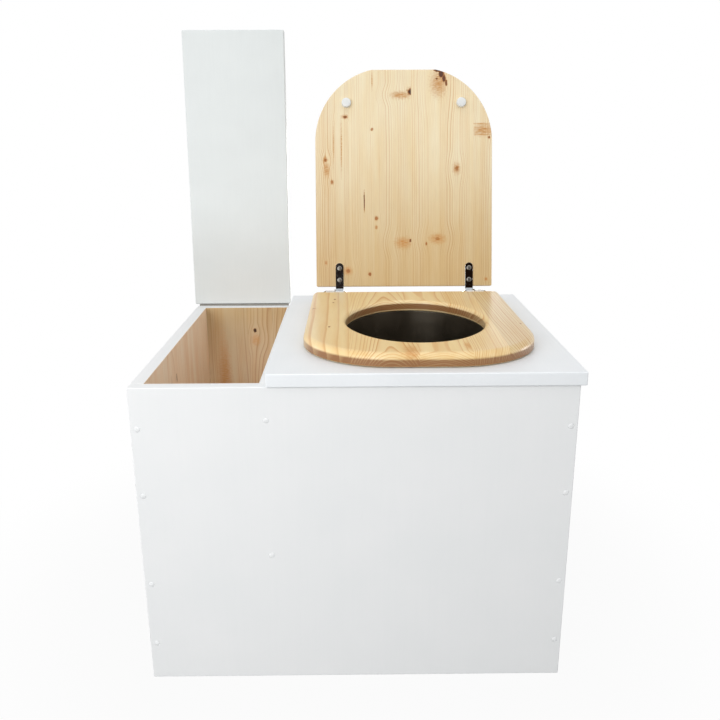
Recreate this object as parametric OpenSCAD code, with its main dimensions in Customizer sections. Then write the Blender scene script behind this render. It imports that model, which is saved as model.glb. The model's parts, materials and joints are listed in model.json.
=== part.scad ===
// Composting toilet: a panelled cabinet with a litter compartment on the left and a
// lift-up deck with seat, lid and stainless bucket on the right.
// Frame: X to the right, Y to the back, Z up, origin at the middle of the footprint on the ground.
// Both lids are drawn open and the seat and the deck are drawn down.

/* [Cabinet] */
// Height of the walls without the deck
cab_h = 433; // [400:1:480]
// Thickness of the four outer walls
wall_t = 18; // [15:0.5:22]
// Thickness of the base panel that the bucket stands on
base_t = 12; // [9:1:18]
// Side of the square battens that join the base and carry the litter floor
batten_s = 22; // [18:1:30]
// Clear space between the bucket's bail and the right wall
bucket_room = 19.9; // [10:0.1:60]

/* [Litter compartment] */
// Clear width of the litter compartment
litter_w = 147.5; // [120:0.5:160]
// Depth of the litter compartment below the rim
litter_deep = 273; // [200:1:290]
// Thickness of the wall between litter and bucket
partition_t = 18; // [15:0.5:20]
// Thickness of the litter floor
litter_floor_t = 12; // [9:1:15]

/* [Litter lid] */
// Thickness of the litter lid
litter_lid_t = 18; // [16:0.5:22]
// Overhang of the litter lid past the left wall
litter_lid_side = 5; // [2:0.5:8]
// Overhang of the litter lid past the front wall when shut
litter_lid_front = 2; // [0:0.5:6]
// Part of the partition's edge that the litter lid covers
litter_lid_lap = 4.8; // [3:0.1:6]
// Lean of the open litter lid past the vertical, in degrees
litter_lid_lean = 4; // [0:0.5:10]

/* [Deck] */
// Thickness of the deck
deck_t = 18; // [16:0.5:22]
// Overhang of the deck past the front wall
deck_front = 4; // [0:0.5:10]
// Overhang of the deck past the right wall
deck_side = 7; // [0:0.5:10]
// Part of the partition's edge left bare beside the deck
deck_setback = 10.5; // [9:0.5:12]

/* [Seat] */
// Thickness of the seat ring
seat_t = 18; // [18:0.5:22]
// Distance from the front wall's face back to the seat
seat_set = 17; // [8:1:60]
// Radius of the two front corners of seat and lid
seat_corner = 122; // [90:1:135]
// Radius of the rounded top edge of the seat ring
seat_round = 9; // [4:0.5:9]
// Width of the seat hole
hole_w = 208; // [190:1:230]
// Length of the seat hole
hole_l = 258; // [240:1:290]
// Wood at each side of the seat hole
seat_arm = 59; // [50:1:70]
// Wood in front of the seat hole
seat_fore = 56; // [50:1:80]
// Wood behind the seat hole
seat_rear = 73; // [55:1:90]
// Height of the feet under the seat ring
seat_foot_h = 2; // [2:0.5:4]
// Diameter of the feet under the seat ring
seat_foot_d = 14; // [10:1:18]
// Distance of those feet from the seat ring's sides
seat_foot_side = 44; // [35:1:50]
// Distance of those feet from the seat ring's front and back
seat_foot_end = 62; // [52:1:70]

/* [Toilet lid] */
// Distance that the seat ring shows at each side of the shut lid
lid_side = 4.5; // [0:0.5:6]
// Distance that the seat ring shows in front of the shut lid
lid_fore = 16.5; // [0:0.5:25]
// Thickness of the toilet lid
lid_t = 18; // [15:0.5:22]
// Radius of the toilet lid's rounded upper edge and back corners
lid_round = 3.5; // [3.5:0.5:7]
// Distance that the lid reaches back past the seat ring
lid_tail = 14.5; // [9:0.5:15]
// Lean of the open toilet lid past the vertical, in degrees
lid_lean = 13.6; // [8:0.2:16]
// Height of the buffers between lid and seat
buffer_h = 8; // [7:0.5:10]
// Diameter of the lid's buffers
buffer_d = 17; // [12:1:20]
// Distance between the lid's two buffers
buffer_pitch = 205; // [180:1:220]
// Distance from the lid's back edge to its buffers
buffer_reach = 326; // [300:1:334]

/* [Seat hinges] */
// Distance from the seat ring's side to the middle of the hinge foot
foot_inset = 38; // [28:1:60]
// Diameter of a hinge foot
foot_d = 48; // [46:1:50]
// Height of a hinge foot
foot_h = 15.5; // [15.5:0.5:21]
// Height of the hinge pin above the deck
pin_h = 11; // [10.5:0.5:12]
// Distance from the seat ring's back edge to the pin
pin_back = 28; // [27:0.5:31]
// Distance from the pin to the back of the deck
pin_rear = 40; // [36:1:80]
// Diameter of the hinge pin
pin_d = 6; // [5:0.5:6.5]
// Width of each strap
strap_w = 14; // [11:0.5:14.5]
// Thickness of each strap
strap_t = 2.5; // [2:0.5:3]
// Length of lid strap on the lid
lid_strap_l = 42; // [38:1:60]
// Length of seat strap under the seat
seat_strap_l = 42; // [38:1:48]
// Distance between the two screws of a strap
strap_screw_pitch = 21; // [18:1:24]
// Diameter of the heads of the strap screws
strap_head_d = 8.5; // [6:0.5:9.5]
// Diameter of the bolt that holds a foot to the deck
foot_bolt_d = 6; // [5:0.5:8]

/* [Piano hinges] */
// Diameter of the hinge knuckles
knuckle_d = 5; // [4:0.5:6]
// Diameter of the hinge wire
wire_d = 2.4; // [2:0.2:2.6]
// Thickness of the hinge leaves
leaf_t = 1.2; // [1:0.1:1.5]
// Height of the hinge leaves
leaf_h = 15; // [12:1:15]
// Nearest length of one knuckle
knuckle_l = 12.5; // [10:0.5:20]
// Distance from the ends of the litter lid to its hinge
litter_hinge_inset = 3; // [2:1:12]
// Distance from the ends of the deck to its hinge
deck_hinge_inset = 23; // [12:1:60]

/* [Bucket] */
// Height of the bucket
bucket_h = 345; // [300:1:370]
// Gap between splash guard and bucket rim at the hole's front and back
mouth_gap = 7.5; // [5:0.5:15]
// Outer radius of the bucket's bottom
bucket_foot_r = 108; // [90:1:120]
// Thickness of the bucket's sheet
bucket_t = 1.2; // [1:0.1:1.5]
// Radius of the rolled rim
rim_r = 3.5; // [3:0.5:4]
// Depth of the ears' axis below the rim
ear_drop = 22; // [18:1:26]
// Diameter of the ears
ear_d = 20; // [16:1:22]
// Diameter of the bail's wire
bail_d = 5.6; // [4.6:0.2:6]
// Diameter of the bail's grip
grip_d = 20; // [16:1:21]
// Length of the bail's grip
grip_l = 100; // [80:1:110]

/* [Splash guard] */
// Wall of the splash guard
guard_t = 1; // [0.8:0.1:1.5]
// Depth that the splash guard reaches into the bucket
guard_dip = 14; // [8:0.5:40]
// Width of the flange on the deck
guard_flange = 9; // [8:0.5:10]
// Distance that the guard stands back from the seat hole
guard_back = 3; // [2:0.5:3.5]

/* [Fixings] */
// Diameter of the panel screws
panel_screw_d = 4; // [3:0.5:5]
// Length of the panel screws
panel_screw_l = 50; // [40:1:60]
// Distance from the top and bottom of a wall to its first screw
panel_screw_end = 56; // [45:1:70]
// Distance from the first to the second screw of a wall
panel_screw_step = 94; // [70:1:100]
// Distance from the top of the partition to its first screw
partition_screw_end = 45; // [40:1:60]
// Diameter of the small screws in hinges and straps
small_screw_d = 3; // [2.5:0.1:3.2]
// Diameter of the small screws' heads
small_head_d = 6; // [5:0.5:7]

/* [Clearances] */
// Radial play of a pin or wire in its bore
pin_play = 0.05; // [0.03:0.01:0.08]
// Radial play of a screw in its hole
screw_play = 0.05; // [0.02:0.01:0.1]
// Gap under a closed lid or seat, and beside a moving knuckle
rest_gap = 0.3; // [0.2:0.05:0.4]
// Gap around a strap in its slot or groove
slot_gap = 0.4; // [0.3:0.05:0.5]
// Gap around the splash guard in the deck's hole
guard_gap = 0.5; // [0.3:0.1:1]
// Gap between the hanging bail's grip and the bucket's wall
grip_gap = 0.4; // [0.3:0.1:2]

/* [Hidden] */

$fn = 64;
eps = 0.01;
// how far a cut runs out past a face
over = 1;
white_paint = "#e9ebec";
varnished_pine = "#e5c898";
bare_pine = "#c7a378";
zinc_steel = "#8f9294";
chrome = "#cfd2d5";
stainless = "#a9abad";
white_plastic = "#eceeee";
black_plastic = "#2a2a2a";

// seat ring and lid around the hole
seat_w = hole_w + 2 * seat_arm;
seat_l = seat_fore + hole_l + seat_rear;
lid_w = seat_w - 2 * lid_side;
lid_l = seat_l - lid_fore + lid_tail;

// bucket around the guard, and the bail around the bucket
ear_gap = 1.5;
bucket_top_r = hole_l / 2 + guard_back + guard_t + mouth_gap + rim_r;
rim_out_r = bucket_top_r + rim_r;
ear_out_r = rim_out_r + rim_r;
bail_r = bail_d / 2;
bail_x = ear_out_r + bail_r + ear_gap;
bay_w = 2 * (bail_x + bail_r + bucket_room) - partition_t + deck_setback + wall_t + deck_side;

// walls around seat, hinges, litter and bucket
cab_w = litter_w + partition_t + bay_w + 2 * wall_t;
cab_d = seat_set + seat_l + pin_back + pin_rear;
front_y = -cab_d / 2;
back_y = cab_d / 2;
inner_d = cab_d - 2 * wall_t;
inner_x = cab_w / 2 - wall_t;
partition_x = litter_w - inner_x;
partition_bottom = cab_h - litter_deep - litter_floor_t - batten_s;

// deck and what stands on it
deck_x0 = partition_x + deck_setback;
deck_x1 = cab_w / 2 + deck_side;
deck_mid = (deck_x0 + deck_x1) / 2;
deck_z = cab_h + rest_gap;
deck_top = deck_z + deck_t;
seat_front_y = front_y + seat_set;
seat_back_y = seat_front_y + seat_l;
seat_z = deck_top + seat_foot_h;
seat_top = seat_z + seat_t;
hole_y = seat_front_y + seat_fore + hole_l / 2;
pin_y = seat_back_y + pin_back;
pin_z = deck_top + pin_h;
lid_back_y = seat_back_y + lid_tail;
lid_z = seat_top + buffer_h;
lid_open = 90 + lid_lean;

// seat hinge foot: lid knuckle on its inner side, seat knuckle on its outer side
knuckle_r = pin_d / 2 + strap_t;
slot_w = strap_w + 2 * slot_gap;
slot_rib = 1.7;
slot_x = (slot_w + slot_rib) / 2;
foot_round = 8;
foot_x = seat_w / 2 - foot_inset;
foot_floor = pin_h - knuckle_r - slot_gap;
lid_strap_x = foot_x - slot_x;
seat_strap_x = foot_x + slot_x;
strap_end = strap_w / 2;
strap_screw_end = 9.5;
strap_head_h = 1.6;

// piano hinges: axis behind the back wall, level with the gap under deck and lid
axis_y = back_y + knuckle_d / 2;
axis_z = cab_h + rest_gap / 2;
leaf_gap = knuckle_d / 2 + rest_gap;
leaf_screw_z = leaf_gap + (leaf_h - leaf_gap) / 2;
leaf_screw_l = 14;
leaf_head_h = 1;
litter_lid_x0 = -cab_w / 2 - litter_lid_side;
litter_lid_x1 = partition_x + litter_lid_lap;
litter_lid_open = 90 + litter_lid_lean;

// bucket
bucket_z = base_t;
bucket_rim_z = bucket_z + bucket_h;
bucket_wall_h = bucket_h - rim_r;
guard_l = deck_top - bucket_rim_z + guard_dip;
ear_z = bucket_rim_z - ear_drop;
ear_bore_l = 7;
bail_bend = bail_r + ear_gap - rest_gap;
bail_corner = 55;
grip_rim_gap = 2;
bail_reach = rim_out_r + grip_d / 2 + grip_rim_gap;

// the bail hangs until its grip meets the bucket's sloping wall
bucket_slope = atan((bucket_top_r - bucket_foot_r) / bucket_wall_h);
ear_wall_r = bucket_foot_r + (ear_z - bucket_z) * tan(bucket_slope);
grip_stand = grip_d / 2 + grip_gap + ear_wall_r * cos(bucket_slope);
bail_droop = bucket_slope + acos(grip_stand / bail_reach);

// seat hole as four arcs: end radius, its centre, side radius and the tangent's height
end_r = 0.83 * hole_w / 2;
end_c = hole_l / 2 - end_r;
side_r = (pow(hole_w / 2, 2) + pow(end_c, 2) - pow(end_r, 2)) / (hole_w - 2 * end_r);

panel_head_r = panel_screw_d;
panel_head_h = 3.5;
wall_screw_z = [panel_screw_end, panel_screw_end + panel_screw_step,
                cab_h - panel_screw_end - panel_screw_step, cab_h - panel_screw_end];
partition_screw_z = [partition_bottom + partition_screw_end + batten_s, cab_h - partition_screw_end];

// ---- shared shapes ----

// box from a low corner to a high corner
module block(low, high) {
    translate(low) cube(high - low);
}

// cylinder along X from x0 to x1
module rod_x(x0, x1, r) {
    translate([x0, 0, 0]) rotate([0, 90, 0]) cylinder(h = x1 - x0, r = r);
}

// cylinder along Y from y0 to y1
module rod_y(y0, y1, r) {
    translate([0, y0, 0]) rotate([-90, 0, 0]) cylinder(h = y1 - y0, r = r);
}

// seat hole's outline, grown by a margin
module oval(grow = 0) {
    tangent = (side_r + grow) * end_c / (side_r - end_r);
    off = side_r - hole_w / 2;
    for (s = [-1, 1]) {
        translate([0, s * end_c]) circle(r = end_r + grow, $fn = 96);
    }
    intersection() {
        translate([off, 0]) circle(r = side_r + grow, $fn = 96);
        translate([-off, 0]) circle(r = side_r + grow, $fn = 96);
        square([2 * hole_w, 2 * tangent], center = true);
    }
}

// D outline with its front edge on Y = 0: large front corners, small back corners
module d_outline(w, l, front_r, back_r) {
    translate([-w / 2, front_r]) square([w, l - front_r - back_r]);
    translate([-w / 2 + front_r, 0]) square([w - 2 * front_r, l]);
    translate([-w / 2 + back_r, l - 2 * back_r]) square([w - 2 * back_r, 2 * back_r]);
    for (s = [-1, 1]) {
        translate([s * (w / 2 - front_r), front_r]) circle(r = front_r, $fn = 96);
        translate([s * (w / 2 - back_r), l - back_r]) circle(r = back_r);
    }
}

// quarter ring that rounds one corner of a slab
module corner_round(corner, edge, h) {
    rotate_extrude(angle = 90, $fn = 96) intersection() {
        translate([corner - edge, h - edge]) circle(r = edge);
        translate([0, h - 2 * edge]) square([corner, 2 * edge]);
    }
}

// D slab whose top edge is rounded all the way round
module d_slab(w, l, front_r, back_r, h, edge) {
    linear_extrude(h - edge) d_outline(w, l, front_r, back_r);
    translate([0, edge, 0]) linear_extrude(h)
        d_outline(w - 2 * edge, l - 2 * edge, front_r - edge, max(back_r - edge, eps));
    translate([0, edge, h - edge]) rod_x(-w / 2 + front_r, w / 2 - front_r, edge);
    translate([0, l - edge, h - edge]) rod_x(-w / 2 + back_r, w / 2 - back_r, edge);
    for (s = [-1, 1]) {
        translate([s * (w / 2 - edge), 0, h - edge]) rod_y(front_r, l - back_r, edge);
    }
    translate([w / 2 - front_r, front_r, 0]) rotate(-90) corner_round(front_r, edge, h);
    translate([-w / 2 + front_r, front_r, 0]) rotate(180) corner_round(front_r, edge, h);
    translate([w / 2 - back_r, l - back_r, 0]) corner_round(back_r, edge, h);
    translate([-w / 2 + back_r, l - back_r, 0]) rotate(90) corner_round(back_r, edge, h);
}

// countersunk panel screw, driven along +Y from its head's face at the origin
module panel_screw(play = 0) {
    rod_y(0, panel_screw_l + play, panel_screw_d / 2 + play);
    rotate([-90, 0, 0]) cylinder(h = panel_head_h, r1 = panel_head_r + play, r2 = panel_screw_d / 2 + play);
}

// panel screws of one end wall, seen from that wall's face
module wall_screws(play = 0) {
    for (s = [-1, 1], z = wall_screw_z) {
        translate([s * (inner_x + wall_t / 2), 0, z]) panel_screw(play);
    }
    for (z = partition_screw_z) {
        translate([partition_x + partition_t / 2, 0, z]) panel_screw(play);
    }
}

// both walls' screws where they stand in the cabinet
module all_panel_screws(play = 0) {
    translate([0, front_y, 0]) wall_screws(play);
    translate([0, back_y, 0]) mirror([0, 1, 0]) wall_screws(play);
}

// pan-head screw, driven along -Z from the plane of its head's seat at the origin
module small_screw(l, head_h, head_d = small_head_d) {
    translate([0, 0, -l]) cylinder(h = l, r = small_screw_d / 2);
    cylinder(h = head_h, r = head_d / 2);
}

// hole for that screw, deeper and wider by its play
module small_hole(l) {
    translate([0, 0, -l - screw_play]) cylinder(h = l + over, r = small_screw_d / 2 + screw_play);
}

// ---- piano hinge, drawn with both leaves upright in one plane ----

function knuckle_count(l) = 2 * floor(l / knuckle_l / 2) + 1;

// X of each leaf screw
function leaf_screws_x(x0, x1, n) = [for (i = [0 : n - 1]) x0 + (x1 - x0) * (i + 0.5) / n];

// one leaf with every second knuckle: side is -1 for the lower leaf and 1 for the upper one
module leaf(x0, x1, side, first, screws) {
    n = knuckle_count(x1 - x0);
    pitch = (x1 - x0) / n;
    difference() {
        union() {
            low = side > 0 ? leaf_gap : -leaf_h;
            translate([x0, -knuckle_d / 2, low]) cube([x1 - x0, leaf_t, leaf_h - leaf_gap]);
            for (i = [first : 2 : n - 1]) {
                translate([x0 + i * pitch + rest_gap / 2, 0, 0]) {
                    rod_x(0, pitch - rest_gap, knuckle_d / 2);
                    translate([0, -knuckle_d / 2, side > 0 ? 0 : -leaf_gap])
                        cube([pitch - rest_gap, leaf_t, leaf_gap]);
                }
            }
        }
        rod_x(x0 - over, x1 + over, wire_d / 2 + pin_play);
        for (x = leaf_screws_x(x0, x1, screws)) {
            translate([x, 0, side * leaf_screw_z]) rod_y(-knuckle_d, 0, small_screw_d / 2 + screw_play);
        }
    }
}

// screws of one leaf, driven along -Y into the wood
module leaf_screws(x0, x1, side, screws) {
    for (x = leaf_screws_x(x0, x1, screws)) {
        translate([x, leaf_t - knuckle_d / 2, side * leaf_screw_z])
            rotate([-90, 0, 0]) small_screw(leaf_screw_l + leaf_t, leaf_head_h);
    }
}

// their pilot holes in the wood
module leaf_pilots(x0, x1, side, screws) {
    for (x = leaf_screws_x(x0, x1, screws)) {
        translate([x, -knuckle_d / 2 - leaf_screw_l - screw_play, side * leaf_screw_z])
            rod_y(0, leaf_screw_l + over, small_screw_d / 2 + screw_play);
    }
}

module at_axis() {
    translate([0, axis_y, axis_z]) children();
}

litter_hinge_x0 = litter_lid_x0 + litter_lid_side + litter_hinge_inset;
litter_hinge_x1 = litter_lid_x1 - litter_hinge_inset;
deck_hinge_x0 = deck_x0 + deck_hinge_inset;
deck_hinge_x1 = deck_x1 - deck_hinge_inset;
litter_hinge_screws = 3;
deck_hinge_screws = 6;

// ---- cabinet ----

module end_wall(y0) {
    difference() {
        block([-cab_w / 2, y0, 0], [cab_w / 2, y0 + wall_t, cab_h]);
        all_panel_screws(screw_play);
    }
}

module front_panel() {
    color(white_paint) end_wall(front_y);
}

module back_panel() {
    color(white_paint) difference() {
        end_wall(back_y - wall_t);
        at_axis() leaf_pilots(litter_hinge_x0, litter_hinge_x1, -1, litter_hinge_screws);
        at_axis() leaf_pilots(deck_hinge_x0, deck_hinge_x1, -1, deck_hinge_screws);
    }
}

module side_wall(x0) {
    difference() {
        block([x0, -inner_d / 2, 0], [x0 + wall_t, inner_d / 2, cab_h]);
        all_panel_screws(screw_play);
    }
}

module left_side_panel() {
    color(white_paint) side_wall(-cab_w / 2);
}

module right_side_panel() {
    color(white_paint) side_wall(inner_x);
}

module partition_panel() {
    color(bare_pine) difference() {
        block([partition_x, -inner_d / 2, partition_bottom], [partition_x + partition_t, inner_d / 2, cab_h]);
        all_panel_screws(screw_play);
    }
}

module litter_floor() {
    floor_z = partition_bottom + batten_s;
    color(bare_pine)
        block([-inner_x, -inner_d / 2, floor_z], [partition_x, inner_d / 2, floor_z + litter_floor_t]);
}

// two battens along Y between x0 and x1, on the level z
module batten_pair(x0, x1, z) {
    for (x = [x0, x1 - batten_s]) {
        block([x, -inner_d / 2, z], [x + batten_s, inner_d / 2, z + batten_s]);
    }
}

module litter_floor_battens() {
    color(bare_pine) batten_pair(-inner_x, partition_x, partition_bottom);
}

module base_panel() {
    color(bare_pine) block([-inner_x, -inner_d / 2, 0], [inner_x, inner_d / 2, base_t]);
}

module base_battens() {
    color(bare_pine) batten_pair(-inner_x, inner_x, base_t);
}

module front_screws() {
    color(white_paint) translate([0, front_y, 0]) wall_screws();
}

module back_screws() {
    color(white_paint) translate([0, back_y, 0]) mirror([0, 1, 0]) wall_screws();
}

// ---- litter lid, drawn shut and then swung open about its hinge ----

module swing(y, z, angle) {
    translate([0, y, z]) rotate([-angle, 0, 0]) translate([0, -y, -z]) children();
}

module litter_open() {
    swing(axis_y, axis_z, litter_lid_open) children();
}

module litter_lid() {
    color(white_paint) litter_open() difference() {
        block([litter_lid_x0, front_y - litter_lid_front, deck_z],
              [litter_lid_x1, back_y, deck_z + litter_lid_t]);
        at_axis() leaf_pilots(litter_hinge_x0, litter_hinge_x1, 1, litter_hinge_screws);
    }
}

module litter_hinge_fixed_leaf() {
    color(zinc_steel) at_axis() leaf(litter_hinge_x0, litter_hinge_x1, -1, 0, litter_hinge_screws);
}

module litter_hinge_moving_leaf() {
    color(zinc_steel) litter_open() at_axis()
        leaf(litter_hinge_x0, litter_hinge_x1, 1, 1, litter_hinge_screws);
}

module litter_hinge_wire() {
    color(zinc_steel) at_axis() rod_x(litter_hinge_x0, litter_hinge_x1, wire_d / 2);
}

module litter_hinge_fixed_screws() {
    color(zinc_steel) at_axis() leaf_screws(litter_hinge_x0, litter_hinge_x1, -1, litter_hinge_screws);
}

module litter_hinge_moving_screws() {
    color(zinc_steel) litter_open() at_axis()
        leaf_screws(litter_hinge_x0, litter_hinge_x1, 1, litter_hinge_screws);
}

// ---- deck ----

// places of the four guard screws on the flange, from the hole's middle
guard_screw_angle = 38;
guard_screw_r = end_r + guard_back + guard_t + guard_gap + guard_flange / 2;
guard_screw_spots = [for (sx = [-1, 1], sy = [-1, 1])
    [sx * guard_screw_r * sin(guard_screw_angle), sy * (end_c + guard_screw_r * cos(guard_screw_angle))]];
guard_screw_l = 10;
guard_head_h = 0.6;

module at_hole(z) {
    translate([deck_mid, hole_y, z]) children();
}

module deck() {
    color(white_paint) difference() {
        block([deck_x0, front_y - deck_front, deck_z], [deck_x1, back_y, deck_top]);
        at_hole(deck_z - over) linear_extrude(deck_t + 2 * over) oval(guard_back + guard_t + guard_gap);
        for (s = [-1, 1]) {
            translate([deck_mid + s * foot_x, pin_y, deck_z - over])
                cylinder(h = deck_t + 2 * over, r = foot_bolt_d / 2 + screw_play);
        }
        for (p = guard_screw_spots) {
            at_hole(deck_top) translate(p) small_hole(guard_screw_l);
        }
        at_axis() leaf_pilots(deck_hinge_x0, deck_hinge_x1, 1, deck_hinge_screws);
    }
}

module deck_hinge_fixed_leaf() {
    color(zinc_steel) at_axis() leaf(deck_hinge_x0, deck_hinge_x1, -1, 0, deck_hinge_screws);
}

module deck_hinge_moving_leaf() {
    color(zinc_steel) at_axis() leaf(deck_hinge_x0, deck_hinge_x1, 1, 1, deck_hinge_screws);
}

module deck_hinge_wire() {
    color(zinc_steel) at_axis() rod_x(deck_hinge_x0, deck_hinge_x1, wire_d / 2);
}

module deck_hinge_fixed_screws() {
    color(zinc_steel) at_axis() leaf_screws(deck_hinge_x0, deck_hinge_x1, -1, deck_hinge_screws);
}

module deck_hinge_moving_screws() {
    color(zinc_steel) at_axis() leaf_screws(deck_hinge_x0, deck_hinge_x1, 1, deck_hinge_screws);
}

// ---- splash guard ----

module splash_guard() {
    color(stainless) difference() {
        union() {
            at_hole(deck_top - guard_l) linear_extrude(guard_l + guard_t) oval(guard_back + guard_t);
            at_hole(deck_top) linear_extrude(guard_t) oval(guard_back + guard_t + guard_flange);
        }
        at_hole(deck_top - guard_l - over) linear_extrude(guard_l + guard_t + 2 * over) oval(guard_back);
        for (p = guard_screw_spots) {
            at_hole(deck_top + guard_t) translate(p) small_hole(guard_screw_l);
        }
    }
}

module guard_screws() {
    color(stainless) for (p = guard_screw_spots) {
        at_hole(deck_top + guard_t) translate(p) small_screw(guard_screw_l, guard_head_h);
    }
}

// ---- seat hinges ----

// a foot at the origin, with its pin along X and its inner side towards -X
module hinge_foot() {
    difference() {
        rotate_extrude($fn = 96) {
            square([foot_d / 2, foot_h - foot_round]);
            square([foot_d / 2 - foot_round, foot_h]);
            intersection() {
                translate([foot_d / 2 - foot_round, foot_h - foot_round]) circle(r = foot_round);
                square([foot_d / 2, foot_h]);
            }
        }
        for (s = [-1, 1]) {
            translate([s * slot_x - slot_w / 2, -foot_d, foot_floor]) cube([slot_w, 2 * foot_d, foot_h]);
        }
        translate([0, 0, pin_h]) rod_x(-foot_d, foot_d, pin_d / 2 + pin_play);
        translate([0, 0, -over]) cylinder(h = foot_floor, r = foot_bolt_d / 2 + pin_play);
    }
}

// places hinge parts drawn for the right-hand side, and their mirror images
module right_side() {
    translate([deck_mid, pin_y, deck_top]) children();
}

module left_side() {
    translate([deck_mid, pin_y, deck_top]) mirror([1, 0, 0]) children();
}

module left_hinge_foot() {
    color(chrome) left_side() translate([foot_x, 0, 0]) hinge_foot();
}

module right_hinge_foot() {
    color(chrome) right_side() translate([foot_x, 0, 0]) hinge_foot();
}

pin_sunk = 4;
pin_l = foot_d - 2 * pin_sunk;

module hinge_pins() {
    color(chrome) for (s = [-1, 1]) {
        translate([deck_mid + s * foot_x, pin_y, pin_z]) rod_x(-pin_l / 2, pin_l / 2, pin_d / 2);
    }
}

washer_t = 1.5;
washer_rim = 5;
washer_r = foot_bolt_d / 2 + washer_rim;
nut_h = 5;
bolt_past_nut = 3;

module foot_bolts() {
    bolt_low = deck_z - washer_t - nut_h - bolt_past_nut;
    color(zinc_steel) for (s = [-1, 1]) {
        translate([deck_mid + s * foot_x, pin_y, bolt_low])
            cylinder(h = deck_top + foot_floor - over - bolt_low, r = foot_bolt_d / 2);
    }
}

module foot_washers() {
    color(zinc_steel) for (s = [-1, 1]) {
        translate([deck_mid + s * foot_x, pin_y, deck_z - washer_t]) difference() {
            cylinder(h = washer_t, r = washer_r);
            translate([0, 0, -over]) cylinder(h = washer_t + 2 * over, r = foot_bolt_d / 2 + pin_play);
        }
    }
}

module foot_nuts() {
    color(zinc_steel) for (s = [-1, 1]) {
        translate([deck_mid + s * foot_x, pin_y, deck_z - washer_t - nut_h]) difference() {
            cylinder(h = nut_h, r = foot_bolt_d, $fn = 6);
            translate([0, 0, -over]) cylinder(h = nut_h + 2 * over, r = foot_bolt_d / 2 + pin_play, $fn = 64);
        }
    }
}

// bore and two screw holes of a strap: reach is the distance from the pin to the strap's far end
module strap_holes(reach, z) {
    rod_x(-strap_w, strap_w, pin_d / 2 + pin_play);
    for (i = [0, 1]) {
        translate([0, -reach + strap_screw_end + i * strap_screw_pitch, z - 2 * strap_t])
            cylinder(h = 4 * strap_t, r = small_screw_d / 2 + screw_play);
    }
}

// flat bar along -Y with a round end, its underside on z
module strap_bar(from, reach, z) {
    translate([0, 0, z]) linear_extrude(strap_t) {
        translate([-strap_w / 2, -reach + strap_end]) square([strap_w, reach - strap_end - from]);
        translate([0, -reach + strap_end]) circle(r = strap_end);
    }
}

lid_strap_reach = pin_back - lid_tail + lid_strap_l;
lid_strap_z = lid_z - pin_z - strap_t;
crank_back = 4;
crank_y = pin_back - lid_tail - crank_back;
seat_strap_reach = pin_back + seat_strap_l;
seat_strap_z = -knuckle_r;
groove_h = pin_h + seat_strap_z + strap_t - seat_foot_h;

// lid strap, drawn shut with its pin on the origin: knuckle, crank and bar under the lid
module lid_strap() {
    difference() {
        union() {
            rod_x(-strap_w / 2, strap_w / 2, knuckle_r);
            translate([-strap_w / 2, 0, 0]) rotate([90, 0, 90]) linear_extrude(strap_w) polygon([
                [-crank_y, lid_strap_z + strap_t], [-crank_y, lid_strap_z],
                [-knuckle_r + strap_t / 4, 0], [0, 0], [0, knuckle_r - strap_t / 8],
                [-crank_y + strap_t, lid_strap_z + strap_t],
            ]);
            strap_bar(crank_y - eps, lid_strap_reach, lid_strap_z);
        }
        strap_holes(lid_strap_reach, lid_strap_z);
    }
}

// seat strap with its pin on the origin: a straight bar that runs off the knuckle's underside
module seat_strap() {
    difference() {
        union() {
            rod_x(-strap_w / 2, strap_w / 2, knuckle_r);
            strap_bar(0, seat_strap_reach, seat_strap_z);
        }
        strap_holes(seat_strap_reach, seat_strap_z);
    }
}

// places of the strap screws, from the pin
function strap_screw_y(reach) = [for (i = [0, 1]) -reach + strap_screw_end + i * strap_screw_pitch];

lid_screw_l = 14;
seat_screw_l = 11;

// ---- seat ----

module seat_ring() {
    color(varnished_pine) difference() {
        translate([deck_mid, seat_front_y, seat_z])
            d_slab(seat_w, seat_l, seat_corner, seat_round, seat_t, seat_round);
        at_hole(seat_z - over) linear_extrude(seat_t + 2 * over) oval();
        for (s = [-1, 1]) {
            translate([deck_mid + s * seat_strap_x, pin_y, 0]) {
                translate([-slot_w / 2, -seat_strap_reach - slot_gap, seat_z - over])
                    cube([slot_w, seat_strap_reach, groove_h + over]);
                for (y = strap_screw_y(seat_strap_reach)) {
                    translate([0, y, seat_z])
                        cylinder(h = groove_h - strap_t + seat_screw_l + screw_play,
                                 r = small_screw_d / 2 + screw_play);
                }
            }
        }
    }
}

// feet near the corners, clear of the guard's flange
module seat_feet() {
    color(white_plastic) for (s = [-1, 1], y = [seat_foot_end, seat_l - seat_foot_end]) {
        translate([deck_mid + s * (seat_w / 2 - seat_foot_side), seat_front_y + y, deck_top + rest_gap])
            cylinder(h = seat_foot_h - rest_gap, r = seat_foot_d / 2);
    }
}

module left_seat_strap() {
    color(chrome) left_side() translate([seat_strap_x, 0, pin_h]) seat_strap();
}

module right_seat_strap() {
    color(chrome) right_side() translate([seat_strap_x, 0, pin_h]) seat_strap();
}

module seat_strap_screws() {
    color(zinc_steel) for (s = [-1, 1], y = strap_screw_y(seat_strap_reach)) {
        translate([deck_mid + s * seat_strap_x, pin_y + y, pin_z + seat_strap_z])
            mirror([0, 0, 1]) small_screw(seat_screw_l, strap_head_h, strap_head_d);
    }
}

// ---- toilet lid, drawn shut and then swung open about the pins ----

module lid_opened() {
    swing(pin_y, pin_z, lid_open) children();
}

module toilet_lid() {
    color(varnished_pine) lid_opened() difference() {
        translate([deck_mid, lid_back_y - lid_l, lid_z])
            d_slab(lid_w, lid_l, seat_corner, lid_round, lid_t, lid_round);
        for (s = [-1, 1], y = strap_screw_y(lid_strap_reach)) {
            translate([deck_mid + s * lid_strap_x, pin_y + y, lid_z - over])
                cylinder(h = over + lid_screw_l + screw_play, r = small_screw_d / 2 + screw_play);
        }
    }
}

buffer_round = 2.5;

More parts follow.
